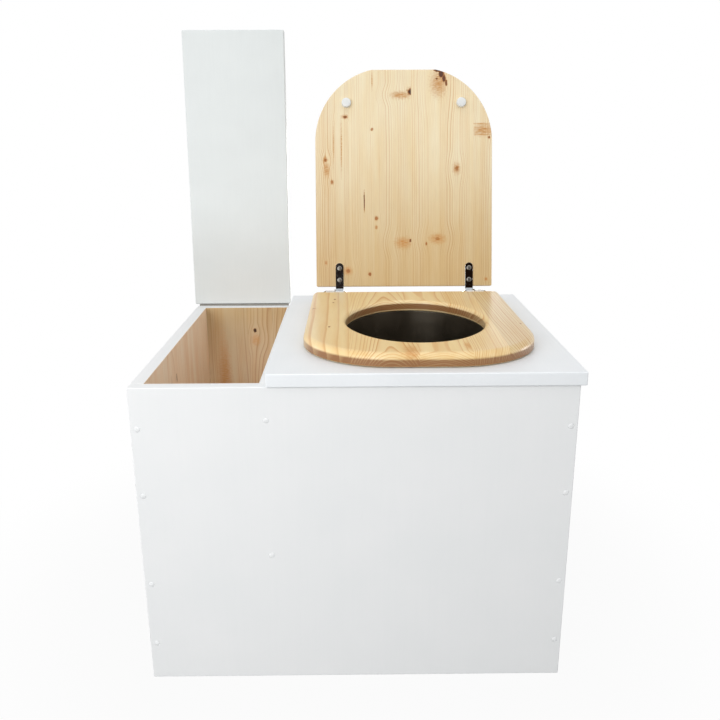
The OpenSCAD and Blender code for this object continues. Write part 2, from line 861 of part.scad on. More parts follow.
// flat-faced button that stops a hair short of the seat
module lid_buffers() {
    stand = buffer_h - rest_gap;
    color(white_plastic) lid_opened() for (s = [-1, 1]) {
        translate([deck_mid + s * buffer_pitch / 2, lid_back_y - buffer_reach, lid_z])
            mirror([0, 0, 1]) rotate_extrude() {
                square([buffer_d / 2, stand - buffer_round]);
                square([buffer_d / 2 - buffer_round, stand]);
                intersection() {
                    translate([buffer_d / 2 - buffer_round, stand - buffer_round]) circle(r = buffer_round);
                    square([buffer_d / 2, stand]);
                }
            }
    }
}

module left_lid_strap() {
    color(chrome) lid_opened() left_side() translate([lid_strap_x, 0, pin_h]) lid_strap();
}

module right_lid_strap() {
    color(chrome) lid_opened() right_side() translate([lid_strap_x, 0, pin_h]) lid_strap();
}

module lid_strap_screws() {
    color(chrome) lid_opened() for (s = [-1, 1], y = strap_screw_y(lid_strap_reach)) {
        translate([deck_mid + s * lid_strap_x, pin_y + y, lid_z - strap_t])
            mirror([0, 0, 1]) small_screw(lid_screw_l + strap_t, strap_head_h, strap_head_d);
    }
}

// ---- bucket ----

module bucket() {
    color(stainless) at_hole(bucket_z) rotate_extrude($fn = 128) {
        polygon([
            [0, 0], [bucket_foot_r, 0], [bucket_top_r, bucket_wall_h],
            [bucket_top_r - bucket_t, bucket_wall_h],
            [bucket_foot_r - bucket_t * (1 - tan(bucket_slope)), bucket_t], [0, bucket_t],
        ]);
        translate([bucket_top_r, bucket_wall_h]) circle(r = rim_r);
    }
}

module bucket_ears() {
    color(stainless) at_hole(0) for (s = [-1, 1]) {
        difference() {
            translate([0, 0, ear_z]) mirror([s < 0 ? 1 : 0, 0, 0])
                rod_x(bucket_foot_r, ear_out_r, ear_d / 2);
            translate([0, 0, bucket_z])
                cylinder(h = bucket_wall_h, r1 = bucket_foot_r, r2 = bucket_top_r, $fn = 128);
            translate([0, 0, ear_z]) mirror([s < 0 ? 1 : 0, 0, 0])
                rod_x(ear_out_r - ear_bore_l, ear_out_r + over, bail_r + pin_play);
        }
    }
}

// one half of the bail, lying level towards -Y with its pivot on the X axis
module half_bail() {
    rod_x(ear_out_r - ear_bore_l + rest_gap, bail_x - bail_bend, bail_r);
    translate([bail_x - bail_bend, -bail_bend, 0])
        rotate_extrude(angle = 90) translate([bail_bend, 0]) circle(r = bail_r);
    translate([bail_x, 0, 0]) rod_y(-bail_reach + bail_corner, -bail_bend, bail_r);
    translate([bail_x - bail_corner, -bail_reach + bail_corner, 0]) rotate(-90)
        rotate_extrude(angle = 90) translate([bail_corner, 0]) circle(r = bail_r);
    translate([0, -bail_reach, 0]) rod_x(0, bail_x - bail_corner, bail_r);
}

module at_bail() {
    at_hole(ear_z) rotate([bail_droop, 0, 0]) children();
}

module bucket_bail() {
    color(stainless) at_bail() {
        half_bail();
        mirror([1, 0, 0]) half_bail();
    }
}

module bail_grip() {
    color(black_plastic) at_bail() translate([0, -bail_reach, 0]) difference() {
        rod_x(-grip_l / 2, grip_l / 2, grip_d / 2);
        rod_x(-grip_l, grip_l, bail_r + pin_play);
    }
}

front_panel();
back_panel();
left_side_panel();
right_side_panel();
partition_panel();
litter_floor();
litter_floor_battens();
base_panel();
base_battens();
front_screws();
back_screws();
litter_lid();
litter_hinge_fixed_leaf();
litter_hinge_moving_leaf();
litter_hinge_wire();
litter_hinge_fixed_screws();
litter_hinge_moving_screws();
deck();
deck_hinge_fixed_leaf();
deck_hinge_moving_leaf();
deck_hinge_wire();
deck_hinge_fixed_screws();
deck_hinge_moving_screws();
splash_guard();
guard_screws();
left_hinge_foot();
right_hinge_foot();
hinge_pins();
foot_bolts();
foot_washers();
foot_nuts();
seat_ring();
seat_feet();
left_seat_strap();
right_seat_strap();
seat_strap_screws();
toilet_lid();
lid_buffers();
left_lid_strap();
right_lid_strap();
lid_strap_screws();
bucket();
bucket_ears();
bucket_bail();
bail_grip();
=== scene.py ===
import json
import math
from functools import partial
import bpy
import bmesh
from mathutils import Matrix, Vector


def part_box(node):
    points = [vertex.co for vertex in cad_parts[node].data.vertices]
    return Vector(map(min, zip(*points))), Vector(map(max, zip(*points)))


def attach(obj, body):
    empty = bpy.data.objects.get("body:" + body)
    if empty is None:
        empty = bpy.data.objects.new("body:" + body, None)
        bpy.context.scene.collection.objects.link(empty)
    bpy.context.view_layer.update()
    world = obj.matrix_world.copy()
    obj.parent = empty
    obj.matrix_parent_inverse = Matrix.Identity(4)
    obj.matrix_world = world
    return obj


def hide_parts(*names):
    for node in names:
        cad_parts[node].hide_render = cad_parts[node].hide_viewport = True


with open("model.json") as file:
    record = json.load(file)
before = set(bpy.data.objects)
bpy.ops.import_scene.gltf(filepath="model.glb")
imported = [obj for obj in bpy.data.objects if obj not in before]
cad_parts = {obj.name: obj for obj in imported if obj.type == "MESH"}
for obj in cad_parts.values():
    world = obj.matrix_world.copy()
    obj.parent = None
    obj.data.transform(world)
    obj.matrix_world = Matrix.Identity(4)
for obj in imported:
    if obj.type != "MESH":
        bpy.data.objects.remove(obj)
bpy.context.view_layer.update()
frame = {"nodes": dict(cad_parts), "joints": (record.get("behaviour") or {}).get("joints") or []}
mm, still = 0.001, Matrix.Identity(4)
joints = {joint["name"]: joint for joint in frame["joints"]}


def toLinear(code):  # sRGB hex to the linear colour that sockets take
    parts = [int(code[i:i + 2], 16) / 255 for i in (1, 3, 5)]
    return [p / 12.92 if p <= 0.04045 else ((p + 0.055) / 1.055) ** 2.4 for p in parts] + [1]


def plug(value, socket):  # a socket takes a value, another socket or a node
    if isinstance(value, bpy.types.Node):
        value = next(output for output in value.outputs if output.enabled)
    if isinstance(value, bpy.types.NodeSocket):
        socket.id_data.links.new(value, socket)
    else:
        socket.default_value = value


nodeHomes = ("ShaderNode", "GeometryNode", "FunctionNode", "")  # what a kind's full name begins with


def addNode(tree, kind, sockets=(), operation=None, **settings):  # sockets by name or number, or a list from the first
    home = next(home for home in nodeHomes if hasattr(bpy.types, home + kind))
    node = tree.nodes.new(home + kind)
    if operation:
        node.operation = operation
    for key, value in settings.items():
        setattr(node, key, value)
    for key, value in sockets.items() if isinstance(sockets, dict) else enumerate(sockets):
        plug(value, node.inputs[key])
    return node


def newMaterial(name, **sockets):
    material = bpy.data.materials.new(name)
    material.use_nodes = True
    shader = material.node_tree.nodes["Principled BSDF"]
    for key, value in sockets.items():
        shader.inputs[key.replace("_", " ")].default_value = value
    return material, shader, partial(addNode, material.node_tree)


def newTree(name, family, inputs, outputs):  # sockets by their kind
    tree = bpy.data.node_groups.new(name, family + "NodeTree")
    for side, kinds in (("INPUT", inputs), ("OUTPUT", outputs)):
        for kind, labels in kinds.items():
            for label in labels:
                tree.interface.new_socket(name=label, in_out=side, socket_type="NodeSocket" + kind)
    return tree, addNode(tree, "NodeGroupInput").outputs, partial(addNode, tree)


# a MapRange takes its value, from low, from high, to low, to high, and a colour Mix its factor, A and B at 0, 6, 7
smooth, rgba = {"interpolation_type": "SMOOTHSTEP"}, {"data_type": "RGBA"}


def addToScene(name, data):
    item = bpy.data.objects.new(name, data)
    bpy.context.scene.collection.objects.link(item)
    return item


cameraLook = {
    "place": (0.0012, -1.1583, 0.7446),  # in front of and above the box, metres
    "lens": 38.55,  # mm, on a sensor 36 mm wide
    "down": 16.693, "right": 0.3987, "roll": -0.2756,  # degrees
}


def placeCamera(look):
    camera = addToScene("camera", bpy.data.cameras.new("camera"))
    camera.data.lens = look["lens"]
    turn = Matrix.Rotation(-math.radians(look["right"]), 4, "Z")
    tilt = Matrix.Rotation(math.radians(90 - look["down"]), 4, "X")
    roll = Matrix.Rotation(math.radians(look["roll"]), 4, "Z")
    camera.matrix_world = Matrix.Translation(look["place"]) @ turn @ tilt @ roll
    bpy.context.scene.camera = camera


studioLook = {
    "sky": 0.62,  # plain light from all round
    "lamps": {  # place, height it aims at on the middle line, size in metres, power in watts
        "keyLamp": ((-0.9, -1.7, 1.0), 0.35, 1.2, 20.8), "fillLamp": ((1.7, -1.4, 1.6), 0.35, 1.6, 5),
        "topLamp": ((0, -0.4, 2.3), 0.45, 1.4, 4.5), "leftLamp": ((-2.2, 0.5, 0.4), 0.3, 0.7, 6),
        "rightLamp": ((2.2, 0.6, 0.35), 0.3, 0.6, 8), "backLamp": ((0.3, 2.3, 0.4), 0.3, 0.7, 11),
    },
    "floorGlow": (0.35, 0.8, 0.95),  # past 0.8 m the floor is plain white, nearer than 0.35 m 5% is real shadow
    "paper": "#8c8c8a",  # a dull floor, so that little light comes back up
    "darkWall": "#2c1b11",  # what polished metal mirrors from behind the camera
}


def addLamp(name, place, aim, size, power):
    lamp = addToScene(name, bpy.data.lights.new(name, "AREA"))
    lamp.data.size = size
    lamp.data.energy = power
    way = Vector((0, 0, aim)) - Vector(place)
    lamp.matrix_world = Matrix.Translation(place) @ way.to_track_quat("-Z", "Y").to_matrix().to_4x4()


def seenByEye(tree):  # 1 for camera, mirror and see-through rays
    rays = addNode(tree, "LightPath").outputs
    seen = addNode(tree, "Math", [rays["Is Camera Ray"], rays["Is Glossy Ray"]], "MAXIMUM")
    return addNode(tree, "Math", [seen, rays["Is Transmission Ray"]], "MAXIMUM")


def flatSheet(name, corners):
    mesh = bpy.data.meshes.new(name)
    mesh.from_pydata(corners, [], [(0, 1, 2, 3)])
    material = newMaterial(name)[0]
    mesh.materials.append(material)
    sheet = addToScene(name, mesh)
    return sheet, material.node_tree


def buildStudio(look):
    world = bpy.data.worlds.new("studio")
    bpy.context.scene.world = world
    world.use_nodes = True
    tree = world.node_tree
    strength = addNode(tree, "MapRange", [seenByEye(tree), 0.0, 1.0, look["sky"], 1.0])
    white = addNode(tree, "Background", {"Color": (1, 1, 1, 1), "Strength": strength})
    plug(white, tree.nodes["World Output"].inputs["Surface"])
    for name, lampLook in look["lamps"].items():
        addLamp(name, *lampLook)

    tree = flatSheet("paperFloor", [(-8, -8, 0), (8, -8, 0), (8, 8, 0), (-8, 8, 0)])[1]
    glow = addNode(tree, "Emission", {"Color": (1, 1, 1, 1), "Strength": 1.0})
    matt = addNode(tree, "BsdfDiffuse", {"Color": toLinear(look["paper"])})
    place = addNode(tree, "TexCoord").outputs["Object"]
    away = addNode(tree, "VectorMath", [place], "LENGTH")
    near, far, glowNear = look["floorGlow"]
    plain = addNode(tree, "MapRange", [away, near, far, glowNear], **smooth)
    share = addNode(tree, "Math", [seenByEye(tree), plain], "MULTIPLY")
    paper = addNode(tree, "MixShader", [share, matt, glow])
    plug(paper, tree.nodes["Material Output"].inputs["Surface"])

    wall, tree = flatSheet("darkWall", [(-4, -4, 0), (4, -4, 0), (4, -4, 3.5), (-4, -4, 3.5)])
    for key, value in (("Base Color", toLinear(look["darkWall"])), ("Specular IOR Level", 0)):
        plug(value, tree.nodes["Principled BSDF"].inputs[key])
    wall.visible_camera = wall.visible_diffuse = wall.visible_shadow = False
    bpy.context.scene.view_settings.view_transform = "Standard"


placeCamera(cameraLook)
buildStudio(studioLook)
print("camera and studio ready")


# materials

def dressShader(add, shader, colour, gloss, height, relief):  # relief in millimetres
    bump = add("Bump", {"Height": height, "Strength": 1.0, "Distance": relief * mm})
    for value, socket in ((colour, "Base Color"), (gloss, "Roughness"), (bump, "Normal")):
        plug(value, shader.inputs[socket])


def boardPlace(add, origin, across, along):  # millimetres across, along and through a board
    across, along = Vector(across).normalized(), Vector(along).normalized()
    turn = Matrix((across, along, across.cross(along)))
    place = add("TexCoord").outputs["Object"]
    return add("Mapping", {"Vector": place, "Location": -(turn @ Vector(origin)) / mm, "Rotation": turn.to_euler(),
                           "Scale": (1 / mm, 1 / mm, 1 / mm)})


def darkerTowardsEnd(add, place, look):  # colour darker towards one end of a board: painted shade on the toilet lid, the litter lid and the bare back wall inside the box
    start, end, deeper = look
    height = add("SeparateXYZ", [place]).outputs[1]
    fade = add("MapRange", [height, start, end], **smooth)
    return add("Mix", {0: fade, 6: toLinear(deeper), 7: (1, 1, 1, 1)}, **rgba)


def knotGroup():  # one branch through a board: it pushes the grain aside and stains the wood
    group, given, add = newTree("pineKnot", "Shader", {
        "Vector": ("Place", "Centre", "Size"), "Float": ("Across", "Ragged", "Core", "Depth", "Swell", "Low", "High")},
        {"Float": ("Across", "Halo", "Dark")})
    offset = add("VectorMath", [given["Place"], given["Centre"]], "SUBTRACT")
    scaled = add("VectorMath", [offset, given["Size"]], "DIVIDE")
    flat = add("VectorMath", [scaled, (1, 1, 0)], "MULTIPLY")
    far = add("VectorMath", [flat], "LENGTH")
    edge = add("Math", [far, given["Ragged"]], "MULTIPLY")
    # a glue joint cuts the knot off
    sides = add("SeparateXYZ", [given["Place"]]).outputs
    pastLow = add("Math", [sides[0], given["Low"]], "GREATER_THAN")
    beforeHigh = add("Math", [sides[0], given["High"]], "LESS_THAN")
    inStave = add("Math", [pastLow, beforeHigh], "MULTIPLY")
    halo = add("MapRange", [edge, 1.0, 0.1, 0.0, inStave], **smooth)
    softer = add("Math", [given["Core"], 0.45], "MULTIPLY")
    dark = add("MapRange", [edge, given["Core"], softer, 0.0, inStave], **smooth)
    hasCore = add("Math", [given["Core"], 0.001], "GREATER_THAN")
    coloured = add("Math", [hasCore, given["Depth"]], "MULTIPLY")
    darkHere = add("Math", [dark, coloured], "MULTIPLY")
    # grain lines bow round the knot
    near = add("MapRange", [far, 2.6, 0.2, 0.0, inStave], **smooth)
    pull = add("Math", [near, given["Swell"]], "MULTIPLY")
    aside = add("SeparateXYZ", [offset]).outputs
    shift = add("Math", [aside[0], pull], "MULTIPLY")
    moved = add("Math", [given["Across"], shift], "SUBTRACT")
    add("NodeGroupOutput", {"Across": moved, "Halo": halo, "Dark": darkHere})
    return group


pineKnot = knotGroup()


def pineWood(name, look, origin, across, along, **sockets):  # glued pine staves, sawn through the growth rings
    material, shader, add = newMaterial(name, **sockets)
    place = boardPlace(add, origin, across, along)
    sides = add("SeparateXYZ", [place]).outputs
    # a stave is (left edge, (pith across, pith depth, slant), (ring width, tone, seed), strength of its lines)
    staves = look["staves"]
    pith, habit, harshness = staves[0][1:]
    for before, stave in zip(staves, staves[1:]):
        past = add("Math", [sides[0], stave[0]], "GREATER_THAN")
        pith = add("VectorMath", [past, Vector(stave[1]) - Vector(before[1]), pith], "MULTIPLY_ADD")
        habit = add("VectorMath", [past, Vector(stave[2]) - Vector(before[2]), habit], "MULTIPLY_ADD")
        harshness = add("Math", [past, stave[3] - before[3], harshness], "MULTIPLY_ADD")
    pithAt = add("SeparateXYZ", [pith]).outputs
    habitOf = add("SeparateXYZ", [habit]).outputs
    seed = add("CombineXYZ", {2: habitOf[2]})
    seeded = add("VectorMath", [place, seed], "ADD")

    torn = add("TexNoise", {"Vector": place, "Scale": 0.28, "Detail": 3.0})
    ragged = add("MapRange", [torn, 0.0, 1.0, 0.5, 1.5])
    bowed, halo, dark = sides[0], 0.0, 0.0
    # a knot is centre, half width and length, core, depth and swell, and the first and last stave it lies in
    edges = [stave[0] for stave in staves] + [1000]
    for x, y, wide, long, core, depth, swell, first, last in look["knots"]:
        knot = add("Group", [place, (x, y, 0), (wide, long, 1), bowed, ragged, core, depth, swell, edges[first],
                             edges[last + 1]], node_tree=pineKnot)
        bowed = knot.outputs["Across"]
        halo = add("Math", [halo, knot.outputs["Halo"]], "MAXIMUM")
        dark = add("Math", [dark, knot.outputs["Dark"]], "MAXIMUM")

    # the trunk wanders slowly along its length
    slow = add("VectorMath", [seeded, (1 / 70, 1 / 260, 1 / 70)], "MULTIPLY")
    wander = add("TexNoise", {"Vector": slow, "Scale": 1.0, "Detail": 2.0, "Roughness": 0.45})
    middle = add("VectorMath", [wander.outputs[1], (0.5, 0.5, 0.5)], "SUBTRACT")
    drift = add("VectorMath", [middle, (look["wander"],) * 3], "MULTIPLY")
    driftBy = add("SeparateXYZ", [drift]).outputs
    besides = add("Math", [bowed, pithAt[0]], "SUBTRACT")
    besides = add("Math", [besides, driftBy[0]], "ADD")
    above = add("Math", [sides[2], pithAt[1]], "SUBTRACT")
    above = add("Math", [sides[1], pithAt[2], above], "MULTIPLY_ADD")
    above = add("Math", [above, driftBy[1]], "ADD")
    spot = add("CombineXYZ", {0: besides, 2: above})
    radius = add("VectorMath", [spot], "LENGTH")
    rings = add("Math", [radius, habitOf[0]], "DIVIDE")
    years = add("TexNoise", {"W": rings, "Scale": 0.31, "Detail": 1.0}, noise_dimensions="1D")
    uneven = add("Math", [years, 2.4, rings], "MULTIPLY_ADD")
    phase = add("Math", [uneven], "FRACT")
    late = add("FloatCurve", {"Value": phase})
    curve = late.mapping.curves[0]  # pale spring wood, then a darker line that stops short
    curve.points[0].location = (0, 0.02)
    curve.points[1].location = (1, 0.0)
    for point in ((0.5, 0.06), (0.8, 0.4), (0.92, 1.0)):
        curve.points.new(*point)
    late.mapping.update()
    harsh = add("TexNoise", {"W": rings, "Scale": 0.13, "Detail": 1.0}, noise_dimensions="1D")
    strength = add("MapRange", [harsh, 0.35, 0.68, *look["lines"]])
    drawnBy = add("Math", [strength, harshness], "MULTIPLY")
    line = add("Math", [late, drawnBy], "MULTIPLY")

    # fibres 0.5 mm wide, drawn out along the grain, and a soft blush 20 mm wide
    thin = add("VectorMath", [place, (2.0, 0.04, 2.0)], "MULTIPLY")
    fibre = add("TexNoise", {"Vector": thin, "Scale": 1.0, "Detail": 4.0, "Roughness": 0.6})
    wide = add("VectorMath", [seeded, (1 / 20, 1 / 150, 1 / 20)], "MULTIPLY")
    blush = add("TexNoise", {"Vector": wide, "Scale": 1.0, "Detail": 3.0})
    warm = add("MapRange", [blush, 0.35, 0.75])

    paint = {key: toLinear(code) for key, code in look["colours"].items()}
    colour = paint["spring"]
    for share, key in ((warm, "blush"), (line, "late")):
        colour = add("Mix", {0: share, 6: colour, 7: paint[key]}, **rgba)
    grey = add("MapRange", [fibre, 0.3, 0.7, 0.95, 1.04])
    tone = add("Math", [grey, habitOf[1]], "MULTIPLY")
    colour = add("VectorMath", [colour, tone], "MULTIPLY")
    endDarkness = darkerTowardsEnd(add, place, look["fade"])
    colour = add("VectorMath", [colour, endDarkness], "MULTIPLY")
    # veins of a branch cross the grain
    crossed = add("VectorMath", [place, (0.12, 0.7, 0.3)], "MULTIPLY")
    vein = add("TexNoise", {"Vector": crossed, "Scale": 1.0, "Detail": 2.0})
    veined = add("MapRange", [vein, 0.38, 0.62, 0.5, 1.0])
    stain = add("Math", [halo, veined], "MULTIPLY")
    # pale cores are amber, deep ones dead and brown
    amber = add("MapRange", [dark, 0.0, 0.5])
    dead = add("MapRange", [dark, 0.5])

    # sawn edges drink more varnish and look darker, ends most of all; on the seat, the deep setting also paints the
    # shade under its front edge
    normal = add("TexCoord").outputs["Normal"]
    across, along = Vector(across).normalized(), Vector(along).normalized()
    lies, ends = [add("Math", [add("VectorMath", [normal, way], "DOT_PRODUCT").outputs["Value"]],
                      "ABSOLUTE") for way in (across.cross(along), along)]
    edge = add("MapRange", [lies, look["edgeFrom"], 0.0, 0.0, look["endShare"]])
    sawn = add("MapRange", [ends, 0.0, 0.6, 0.4])
    reach = add("Math", [edge, sawn], "MULTIPLY")
    rough = add("Math", [reach, look["endTeeth"]], "MULTIPLY")
    teeth = add("Math", [phase, rough, reach], "MULTIPLY_ADD")
    for share, key in ((stain, "halo"), (amber, "amber"), (dead, "core"), (teeth, "end")):
        colour = add("Mix", {0: share, 6: colour, 7: paint[key]}, **rgba)
    gloss = add("MapRange", [fibre, 0.0, 1.0, look["gloss"] - 0.05, look["gloss"] + 0.07])
    dressShader(add, shader, colour, gloss, fibre, look["relief"])
    return material


def paintedPine(name, look, across, along):  # satin paint that lets the grain telegraph through
    material, shader, add = newMaterial(name, IOR=1.5)
    place = boardPlace(add, (0, 0, 0), across, along)
    drawn = add("VectorMath", [place, (1 / 3.5, 1 / 180, 1 / 3.5)], "MULTIPLY")
    grain = add("TexNoise", {"Vector": drawn, "Scale": 1.0, "Detail": 3.0})
    peel = add("TexNoise", {"Vector": place, "Scale": 0.5, "Detail": 2.0})
    cloud = add("TexNoise", {"Vector": place, "Scale": 0.012, "Detail": 3.0})
    both = add("Math", [grain, 0.35, cloud], "MULTIPLY_ADD")
    share = add("MapRange", [both, 0.35, 1.0])
    colour = add("Mix", {0: share, 6: toLinear(look["colour"]), 7: toLinear(look["shade"])}, **rgba)
    endDarkness = darkerTowardsEnd(add, place, look["fade"])
    colour = add("VectorMath", [colour, endDarkness], "MULTIPLY")
    height = add("Math", [peel, 0.4, grain], "MULTIPLY_ADD")
    gloss = add("MapRange", [peel, 0.0, 1.0, look["gloss"] - 0.05, look["gloss"] + 0.05])
    dressShader(add, shader, colour, gloss, height, look["relief"])
    return material


def wipedMetal(name, look):  # plated or rolled metal with fine wipe marks
    material, shader, add = newMaterial(name, Metallic=1.0)
    place = add("TexCoord").outputs["Object"]
    drawn = add("Mapping", {"Vector": place, "Scale": look["streaks"]})
    mark = add("TexNoise", {"Vector": drawn, "Scale": 1.0, "Detail": 4.0})
    cloud = add("TexNoise", {"Vector": place, "Scale": 45.0, "Detail": 3.0})
    colour = add("Mix", {0: cloud, 6: toLinear(look["colour"]), 7: toLinear(look["shade"])}, **rgba)
    both = add("Math", [mark, cloud], "MULTIPLY")
    gloss = add("MapRange", [both, 0.0, 0.5, *look["gloss"]])
    dressShader(add, shader, colour, gloss, mark, look["relief"])
    return material


def mouldedPlastic(name, look):  # satin polypropylene with a fine moulded grain
    material, shader, add = newMaterial(name, IOR=1.49)
    place = add("TexCoord").outputs["Object"]
    grit = add("TexNoise", {"Vector": place, "Scale": 1 / (0.5 * mm), "Detail": 2.0})
    cloud = add("TexNoise", {"Vector": place, "Scale": 120.0})
    colour = add("Mix", {0: cloud, 6: toLinear(look["colour"]), 7: toLinear(look["shade"])}, **rgba)
    gloss = add("MapRange", [cloud, 0.0, 1.0, look["gloss"] - 0.06, look["gloss"] + 0.06])
    dressShader(add, shader, colour, gloss, grit, 0.02)
    return material


paintLook = {"colour": "#f0f1f2", "shade": "#eceeef", "relief": 0.035, "gloss": 0.45, "fade": (0, 1, "#ffffff")}
# the deck's white is a brighter, cooler copy of the cabinet's paint: painted light on the deck
deckPaint = {"colour": "#f2f5f8", "shade": "#ebeff2"}
# the litter lid's white is a darker copy of the cabinet's paint, darker still towards its hinge: painted shade near the
# box
litterLidPaint = {"colour": "#e6ebeb", "shade": "#e0e5e5", "fade": (460, 640, "#f0eeec")}
upright, level, deep = (0, 0, 1), (1, 0, 0), (0, 1, 0)
paintFront = paintedPine("satinPaintFront", paintLook, level, upright)
paintSide = paintedPine("satinPaintSide", paintLook, deep, upright)
paintFlat = paintedPine("satinPaintDeck", paintLook | deckPaint, level, deep)
paintLid = paintedPine("satinPaintLitterLid", paintLook | litterLidPaint, level, upright)
# chrome mirrors the room, rolled stainless sheet only blurs it, and zinc plate is a pale grey; the hinge leaves and
# strap screws take a darker, duller grey
chrome = wipedMetal("chromePlate", {"colour": "#d9dcdf", "shade": "#cdd1d4", "streaks": (900, 120, 900),
                                    "gloss": (0.05, 0.14), "relief": 0.002})
# the stainless is tinted a darker, warmer brown-grey than the bare metal: painted reflection, so the shaded inside of
# the bucket reads dark brown
stainless = wipedMetal("stainlessSheet", {"colour": "#9e9587", "shade": "#8e8577", "streaks": (900, 900, 14),
                                          "gloss": (0.24, 0.4), "relief": 0.01})
zincSteel = wipedMetal("zincPlatedSteel", {"colour": "#b4b7b8", "shade": "#a2a6a8", "streaks": (60, 700, 700),
                                           "gloss": (0.25, 0.42), "relief": 0.008})
dullZinc = wipedMetal("dullZincSteel", {"colour": "#8d8a84", "shade": "#7b7872", "streaks": (60, 700, 700),
                                        "gloss": (0.3, 0.45), "relief": 0.008})
whitePlastic = mouldedPlastic("whitePolypropylene", {"colour": "#eef0ef", "shade": "#e6e9e8", "gloss": 0.4})
blackPlastic = mouldedPlastic("blackPolypropylene", {"colour": "#1d1d1e", "shade": "#262627", "gloss": 0.5})
varnished = {"spring": "#f7e9c7", "blush": "#f2dcb0", "late": "#d0924c", "halo": "#c98c45", "amber": "#a8682c",
             "core": "#4d2d20", "end": "#8d6138"}
bare = {"spring": "#f7e8cc", "blush": "#f0d3ab", "late": "#c68f58", "halo": "#c08a52", "amber": "#8a5a30",
        "core": "#3f291d", "end": "#c39a6c"}
print("materials ready")


# shared ways of making pieces

def makePlain(piece):  # keeps what the modifiers make and drops them
    graph = bpy.context.evaluated_depsgraph_get()
    mesh = bpy.data.meshes.new_from_object(piece.evaluated_get(graph), preserve_all_data_layers=True, depsgraph=graph)
    piece.modifiers.clear()
    piece.data = mesh
    return piece


def fromBm(name, bm):
    mesh = bpy.data.meshes.new(name)
    bm.to_mesh(mesh)
    bm.free()
    return addToScene(name, mesh)


def mergedCopy(node, turn=still):  # a CAD node's loose triangles, joined up
    bm = bmesh.new()
    bm.from_mesh(frame["nodes"][node].data)
    bmesh.ops.remove_doubles(bm, verts=bm.verts[:], dist=1e-6)
    bm.transform(turn)
    return bm


def solidBoxes(node, turn=still):  # low and high corner of each separate solid in a CAD node
    bm = mergedCopy(node, turn)
    left, boxes = set(bm.verts), []
    while left:
        edge = [left.pop()]
        found = list(edge)
        while edge:
            for link in edge.pop().link_edges:
                for vert in link.verts:
                    if vert in left:
                        left.discard(vert)
                        edge.append(vert)
                        found.append(vert)
        boxes.append([Vector([pick(v.co[i] for v in found) for i in range(3)]) for pick in (min, max)])
    bm.free()
    return sorted(boxes, key=lambda box: tuple(round(c, 5) for c in box[0]))


def spotsOn(node, side, lift=0.0, turn=still):  # middles of the solids' lower (0) or upper (1) sides
    return [((low.x + high.x) / 2, (low.y + high.y) / 2, (low, high)[side].z + lift * mm)
            for low, high in solidBoxes(node, turn)]


def finishPiece(piece, body, nodes, material=None, crease=32):
    if material is not None:
        piece.data.materials.clear()
        piece.data.materials.append(material)
    for polygon in piece.data.polygons:
        polygon.use_smooth = True
    piece.data.set_sharp_from_angle(angle=math.radians(crease))
    weigh = piece.modifiers.new("evenShading", "WEIGHTED_NORMAL")
    weigh.keep_sharp = True
    makePlain(piece)
    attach(piece, body)
    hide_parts(*nodes)


def easedPiece(node, ease, body, material, sharper=35):  # a CAD node, its edges past that angle broken
    first, *others = node.split("_")  # the piece is named for its node
    bm = mergedCopy(node)
    bmesh.ops.dissolve_limit(bm, angle_limit=math.radians(0.5), verts=bm.verts[:], edges=bm.edges[:])
    piece = fromBm(first + "".join(word.capitalize() for word in others), bm)
    bevel = piece.modifiers.new("ease", "BEVEL")
    bevel.width = ease * mm
    bevel.segments = 2
    bevel.limit_method = "ANGLE"
    bevel.angle_limit = math.radians(sharper)
    finishPiece(makePlain(piece), body, [node], material)


def cutAway(piece, cutters):
    for cutter in cutters:
        cut = piece.modifiers.new("cut", "BOOLEAN")
        cut.operation = "DIFFERENCE"
        cut.solver = "EXACT"
        cut.object = cutter
    makePlain(piece)
    for cutter in cutters:
        bpy.data.objects.remove(cutter)


def boxPiece(name, low, high, ease=0.0):
    bm = bmesh.new()
    bmesh.ops.create_cube(bm, size=1)
    for vert in bm.verts:
        vert.co = Vector([a + (c + 0.5) * (b - a) for a, b, c in zip(low, high, vert.co)])
    if ease:
        bmesh.ops.bevel(bm, geom=bm.edges[:], offset=ease * mm, segments=3, profile=0.5, affect="EDGES")
    return fromBm(name, bm)


def arc(centre, radius, start, end, steps):  # points on an arc, angles in degrees
    angles = [math.radians(start + (end - start) * i / steps) for i in range(steps + 1)]
    return [(centre[0] + radius * math.cos(a), centre[1] + radius * math.sin(a)) for a in angles]


def roundedPlate(low, high, frontRadius, backRadius, blunt=0.0, backInset=100.0):
    # a board whose front and back corners differ: its front is sawn off by blunt, its back edge eased by backInset
    def outline(inset):
        x0, y0, x1, y1 = low[0] + inset, low[1] + inset, high[0] - inset, high[1] - min(inset, backInset)
        front, back = max(frontRadius - inset, 0.05), max(backRadius - inset, 0.05)
        steps = 28 if frontRadius > 20 else 4
        reach = math.degrees(math.asin((front - blunt) / front)) if blunt else 90
        middle = y0 + front - blunt
        return (arc((x0 + front, middle), front, 180, 180 + reach, steps)
                + arc((x1 - front, middle), front, 360 - reach, 360, steps)
                + arc((x1 - back, y1 - back), back, 0, 90, 6) + arc((x0 + back, y1 - back), back, 90, 180, 6))
    return outline


def boxMm(node):
    return [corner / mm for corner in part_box(node)]


holeMiddle = sum(boxMm("splash_guard"), Vector((0, 0, 0))) / 2
holeLook = {"half": (104, 129), "endShare": 0.83, "steps": 24}  # a four-arc oval, mm


